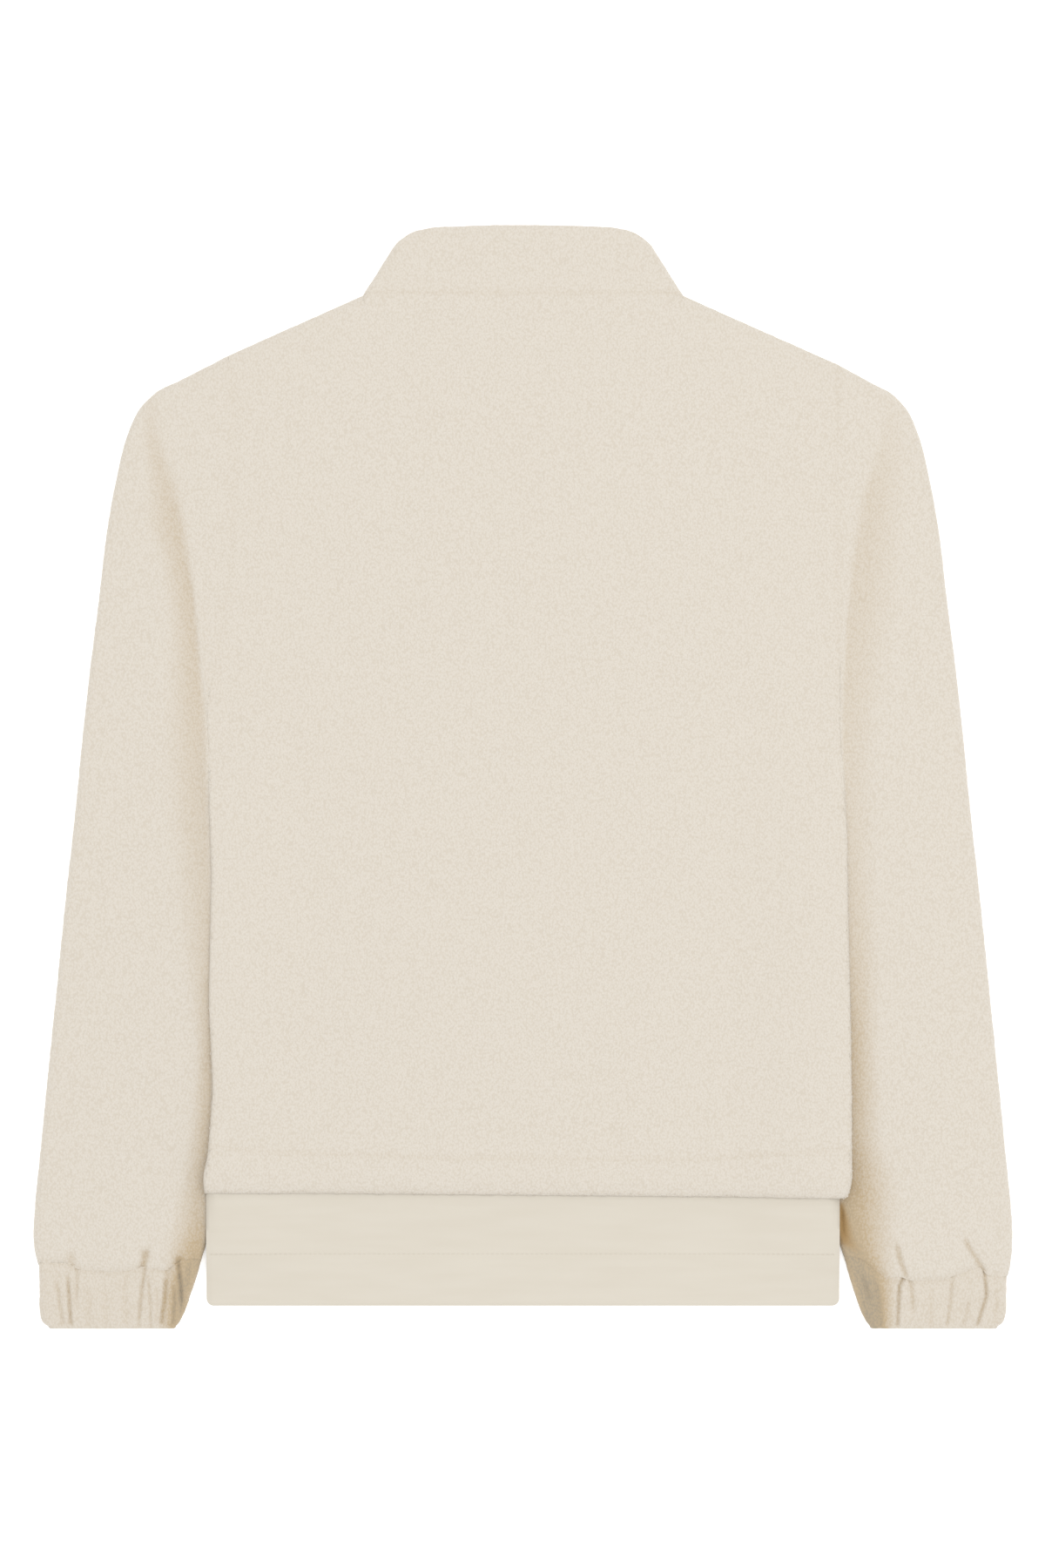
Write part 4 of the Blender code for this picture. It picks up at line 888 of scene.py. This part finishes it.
def makePull():
    pull = startBox("zipPull", zipper["pullEye"])
    editFaces(pull, lambda face: abs(face.normal.z) > 0.9,
              (bpy.ops.mesh.inset, {"thickness": zipper["pullBar"] * mm}),
              (bpy.ops.mesh.bridge_edge_loops, {}))
    lowY = zipper["pullEye"][0][1] * mm
    taper = {"value": (zipper["pullTaper"], 1, 1), "center_override": (0, lowY, 0)}
    editFaces(pull, lambda face: face.normal.y < -0.9 and abs(face.center.y - lowY) < 0.01 * mm,
              (bpy.ops.mesh.extrude_region_move,
               {"TRANSFORM_OT_translate": {"value": (0, -zipper["pullDrop"] * mm, 0)}}),
              (bpy.ops.transform.resize, taper))
    roundEdges(pull, zipper["edge"])
    return pull


made = [makeBack()]
for sideName in sides:
    made += [makeFront(sideName), makeSleeve(sideName), makeCuff(sideName)]
made += [makeCollar(), *makeBand(), *(makeTape(sideName, sides[sideName]["sign"]) for sideName in sides)]
print("cloth made")
zipBox = startBox("zipBox", zipper["box"])
roundEdges(zipBox, zipper["boxEdge"])
made += [zipBox, makeTeeth(), makeSlider(), makePull()]
print("zip made")


# Finishes.
def fillInputs(tree, node, values):
    # a socket is linked, a colour gets its alpha, and a number is set
    for label, value in values.items():
        if isinstance(value, bpy.types.NodeSocket):
            tree.links.new(value, node.inputs[label])
        elif node.inputs[label].type == "RGBA":
            node.inputs[label].default_value = (*value, 1)
        else:
            node.inputs[label].default_value = value
    return node


def addNode(tree, kind, values, **settings):
    node = tree.nodes.new("ShaderNode" + kind)
    for label, value in settings.items():
        setattr(node, label, value)
    return fillInputs(tree, node, values)


def maths(tree, operation, a, b, clamped=False):
    return addNode(tree, "Math", {0: a, 1: b}, operation=operation, use_clamp=clamped).outputs[0]


def noiseFac(tree, place, scale, detail):
    return addNode(tree, "TexNoise", {"Vector": place, "Scale": scale, "Detail": detail}).outputs["Fac"]


def spread(tree, value, limits):
    return addNode(tree, "MapRange", {"Value": value, **limits}).outputs["Result"]


def mixColour(tree, share, a, b):
    return addNode(tree, "Mix", {0: share, 6: a, 7: b}, data_type="RGBA").outputs[2]


def newGroup(name, inputs, outputs):
    group = bpy.data.node_groups.new(name, "ShaderNodeTree")
    for label, value in inputs.items():
        group.interface.new_socket(label, in_out="INPUT", socket_type="NodeSocketFloat").default_value = value
    for label in outputs:
        group.interface.new_socket(label, in_out="OUTPUT", socket_type="NodeSocketFloat")
    place = addNode(group, "TexCoord", {}).outputs["Object"]
    return group, group.nodes.new("NodeGroupInput").outputs, group.nodes.new("NodeGroupOutput"), place


def makePileGroup():
    # curled loops: rounded grains, bent by noise so that they read as curls, with crevices between them that
    # the material darkens as painted shade
    group, given, end, place = newGroup(
        "curledPile", {"Grain Scale": 700.0, "Bend": 0.0012, "Clump Scale": 90.0},
        ("Height", "Crevice", "Clump"))
    upright = addNode(group, "Mapping", {"Vector": place, "Scale": (1.0, 0.72, 1.0)}).outputs[0]
    bend = addNode(group, "TexNoise", {"Vector": place, "Scale": 500.0, "Detail": 2.0}).outputs["Color"]
    centred = addNode(group, "VectorMath", {0: bend, 1: (0.5, 0.5, 0.5)}, operation="SUBTRACT").outputs[0]
    scaled = addNode(group, "VectorMath", {0: centred, "Scale": given["Bend"]}, operation="SCALE").outputs[0]
    bent = addNode(group, "VectorMath", {0: upright, 1: scaled}, operation="ADD").outputs[0]
    grain = addNode(group, "TexVoronoi", {"Vector": bent, "Scale": given["Grain Scale"], "Randomness": 1.0,
                                          "Smoothness": 0.35}, feature="SMOOTH_F1").outputs["Distance"]
    finePart = maths(group, "MULTIPLY", noiseFac(group, bent, 1500.0, 3.0), 0.45)
    fillInputs(group, end, {
        "Height": maths(group, "ADD", maths(group, "SUBTRACT", 1.0, grain), finePart),
        "Crevice": spread(group, grain, {"From Min": 0.32, "From Max": 0.75}),
        "Clump": noiseFac(group, place, given["Clump Scale"], 3.0)})
    return group


def makeWeaveGroup():
    # fine threads both ways, with slubs
    group, given, end, place = newGroup(
        "fineThreads", {"Threads": 900.0, "Slub Scale": 60.0}, ("Height", "Slub"))
    wave = {"Vector": place, "Scale": given["Threads"], "Distortion": 1.2, "Detail": 1.0}
    waves = [addNode(group, "TexWave", wave, bands_direction=way).outputs["Fac"] for way in ("X", "Y")]
    stretched = addNode(group, "Mapping", {"Vector": place, "Scale": (0.35, 2.4, 1.0)}).outputs[0]
    fillInputs(group, end, {"Height": maths(group, "ADD", *waves),
                            "Slub": noiseFac(group, stretched, given["Slub Scale"], 4.0)})
    return group


pileGroup, weaveGroup = makePileGroup(), makeWeaveGroup()
# Each finish: the record's slot, its colours and how strong its parts are; shader is set on the shader itself.
wovenShader = {"Roughness": 0.82, "Specular IOR Level": 0.3}
finishes = {
    # bouclé: shaded and deep are painted shade colours, the notch's is a painted shadow's brown, and dark goes
    # in as painted shade in the crevices and as a darker tone in clumps
    "boucle": {"slot": "boucle", "light": (0.613, 0.568, 0.501), "dark": (0.512, 0.452, 0.367),
               "shaded": (0.443, 0.346, 0.223), "deep": (0.330, 0.276, 0.200), "notchShadow": (0.335, 0.210, 0.085),
               "creviceShadeMix": 0.5, "clumpMix": 0.05, "shadeOnTops": 0.85, "shadeBetween": 1.25, "bump": 0.38,
               "bumpDeep": 0.0006, "grain": 830.0,
               "shader": {"Roughness": 0.95, "Specular IOR Level": 0.2, "Sheen Weight": 0.15,
                          "Sheen Roughness": 0.6}},
    "wovenBand": {"slot": "woven_band", "light": (0.590, 0.547, 0.470), "dark": (0.576, 0.531, 0.452),
                  "bump": 0.1, "bumpDeep": 0.0002, "threads": 900.0, "shader": wovenShader},
    "zipTape": {"slot": "zip_tape", "light": (0.560, 0.505, 0.420), "dark": (0.480, 0.420, 0.335),
                "bump": 0.3, "bumpDeep": 0.0002, "threads": 700.0, "shader": wovenShader},
    "zipMetal": {"slot": "zip_metal", "scratches": 2500.0, "smoothest": 0.26, "roughest": 0.42,
                 "shader": {"Base Color": (0.66, 0.63, 0.58), "Metallic": 1.0}},
}


def newMaterial(name):
    material = bpy.data.materials.new(name)
    material.use_nodes = True
    return material, material.node_tree, material.node_tree.nodes["Principled BSDF"]


def bumpNormal(tree, values, height):
    return addNode(tree, "Bump", {"Strength": values["bump"], "Distance": values["bumpDeep"],
                                  "Height": height}).outputs["Normal"]


def boucleInputs(tree, values):
    pileNode = addNode(tree, "Group", {}, node_tree=pileGroup)
    fillInputs(tree, pileNode, {"Grain Scale": values["grain"]})
    crevice = pileNode.outputs["Crevice"]
    clumpShare = spread(tree, pileNode.outputs["Clump"],
                        {"From Min": 0.3, "From Max": 0.8, "To Max": values["clumpMix"]})
    # painted shade in the crevices between the grains, and clumps of a darker tone
    darkShare = maths(tree, "ADD", maths(tree, "MULTIPLY", crevice, values["creviceShadeMix"]), clumpShare, True)
    colour = mixColour(tree, darkShare, values["light"], values["dark"])
    # painted shade and shadow: the colour is mixed towards the shaded and deep colours where the cloth lies in
    # shade, less on the tops of the loops, and towards the notch's brown shadow
    paintedShade, notchShadow = (addNode(tree, "Attribute", {}, attribute_name=label).outputs["Fac"]
                     for label in ("paintedShade", "notchShadow"))
    uneven = spread(tree, crevice, {"To Min": values["shadeOnTops"], "To Max": values["shadeBetween"]})
    shade = maths(tree, "MULTIPLY", paintedShade, uneven)
    colour = mixColour(tree, shade, colour, values["shaded"])
    colour = mixColour(tree, maths(tree, "SUBTRACT", shade, 1.0, True), colour, values["deep"])
    colour = mixColour(tree, notchShadow, colour, values["notchShadow"])
    return {"Base Color": colour, "Normal": bumpNormal(tree, values, pileNode.outputs["Height"])}


def wovenInputs(tree, values):
    threads = addNode(tree, "Group", {}, node_tree=weaveGroup)
    fillInputs(tree, threads, {"Threads": values["threads"]})
    slubShare = spread(tree, threads.outputs["Slub"], {"From Min": 0.35, "From Max": 0.7})
    return {"Base Color": mixColour(tree, slubShare, values["light"], values["dark"]),
            "Normal": bumpNormal(tree, values, threads.outputs["Height"])}


def metalInputs(tree, values):
    place = addNode(tree, "TexCoord", {}).outputs["Object"]
    limits = {"To Min": values["smoothest"], "To Max": values["roughest"]}
    return {"Roughness": spread(tree, noiseFac(tree, place, values["scratches"], 2.0), limits)}


materials = {}
for name, inputsFor in zip(finishes, (boucleInputs, wovenInputs, wovenInputs, metalInputs)):
    materials[name], tree, shader = newMaterial(name)
    fillInputs(tree, shader, {**inputsFor(tree, finishes[name]), **finishes[name]["shader"]})

# Each piece: its finish, the solid it stands for, and how cloth was cut: width and length of the rectangle
# round it, its area, and what it lies on.
fronts = ["frontPanelLeft", "frontPanelRight"]
pieceTable = {
    "backPanel": ("boucle", "back_panel", (0.447, 0.625), 0.262, fronts),
    "frontPanelLeft": ("boucle", "front_panel_left", (0.219, 0.620), 0.120, []),
    "frontPanelRight": ("boucle", "front_panel_right", (0.226, 0.620), 0.125, []),
    "sleeveLeft": ("boucle", "sleeve_left", (0.500, 0.640), 0.121, []),
    "sleeveRight": ("boucle", "sleeve_right", (0.490, 0.640), 0.112, []),
    "cuffLeft": ("boucle", "cuff_left", (0.235, 0.044), 0.0095, []),
    "cuffRight": ("boucle", "cuff_right", (0.235, 0.044), 0.0092, []),
    "collarWall": ("boucle", "collar", (0.490, 0.047), 0.0203, fronts),
    "hemBandBack": ("wovenBand", "hem_band_back", (0.4366, 0.1014), 0.0440,
                    ["hemBandFrontLeft", "hemBandFrontRight"]),
    "hemBandFrontLeft": ("wovenBand", "hem_band_front_left", (0.2180, 0.0742), 0.0161, []),
    "hemBandFrontRight": ("wovenBand", "hem_band_front_right", (0.2180, 0.0742), 0.0161, []),
    "zipTapeLeft": ("zipTape", "zip_tape_left", (0.0131, 0.587), 0.00768, ["frontPanelLeft"]),
    "zipTapeRight": ("zipTape", "zip_tape_right", (0.0131, 0.587), 0.00768, ["frontPanelRight"]),
    "zipTeeth": ("zipMetal", "zip_chain"),
    "zipBox": ("zipMetal", "zip_box"),
    "zipSlider": ("zipMetal", "zip_slider"),
    "zipPull": ("zipMetal", "zip_pull"),
}
pieces = {piece.name: piece for piece in made}
for name, (finish, node, *cut) in pieceTable.items():
    piece = pieces[name]
    piece.data.materials.clear()
    piece.data.materials.append(materials[finish])
    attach(piece, "pull" if name == "zipPull" else "jacket")
    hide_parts(node)
print("finishes set")

# Floor, light and camera.
stage = {
    "floorSize": 30.0, "worldStrength": 1.1, "lamp": (0.5, 0.35, 2.7), "lampSize": (2.2, 1.6),
    "lampPower": 20.0, "cameraHigh": 3600.0, "cameraZ": 9.5, "sensor": 36.0,
    "floor": {"Base Color": (0.95, 0.95, 0.95), "Roughness": 0.9, "Specular IOR Level": 0.0,
              "Emission Color": (1.0, 1.0, 1.0), "Emission Strength": 0.25},
}
bpy.ops.mesh.primitive_plane_add(size=stage["floorSize"], location=(0, 0, 0))
floor = bpy.context.object
floor.name = "floor"
floorMaterial, floorTree, floorShader = newMaterial("floor")
fillInputs(floorTree, floorShader, stage["floor"])
# seen from beneath, the floor isn't there
facing = addNode(floorTree, "NewGeometry", {}).outputs["Backfacing"]
seeThrough = addNode(floorTree, "BsdfTransparent", {}).outputs[0]
floorMix = addNode(floorTree, "MixShader", {0: facing, 1: floorShader.outputs[0], 2: seeThrough}).outputs[0]
fillInputs(floorTree, floorTree.nodes["Material Output"], {"Surface": floorMix})
floor.data.materials.append(floorMaterial)

world = bpy.data.worlds.new("studio")
world.use_nodes = True
fillInputs(world.node_tree, world.node_tree.nodes["Background"],
           {"Color": (1.0, 1.0, 1.0), "Strength": stage["worldStrength"]})
bpy.context.scene.world = world
bpy.ops.object.light_add(type="AREA", location=stage["lamp"])
lamp = bpy.context.object
lamp.name = "softBox"
lamp.data.shape = "RECTANGLE"
lamp.data.size, lamp.data.size_y = stage["lampSize"]
lamp.data.energy = stage["lampPower"]
lamp.rotation_euler = (-lamp.location).to_track_quat("-Z", "Y").to_euler()

wide, high = photo["size"]
centreX, centreY = photoPlace(wide / 2, high / 2)
bpy.ops.object.camera_add(location=(centreX * mm, centreY * mm, stage["cameraHigh"] * mm), rotation=(0, 0, 0))
camera = bpy.context.object
camera.data.type = "PERSP"
camera.data.sensor_width = stage["sensor"]
camera.data.lens = stage["sensor"] * (stage["cameraHigh"] - stage["cameraZ"]) / (high * photo["mmPerPixel"])
camera.data.clip_end = 100.0
bpy.context.scene.camera = camera
bpy.context.scene.view_settings.view_transform = "Standard"
print("stage set")
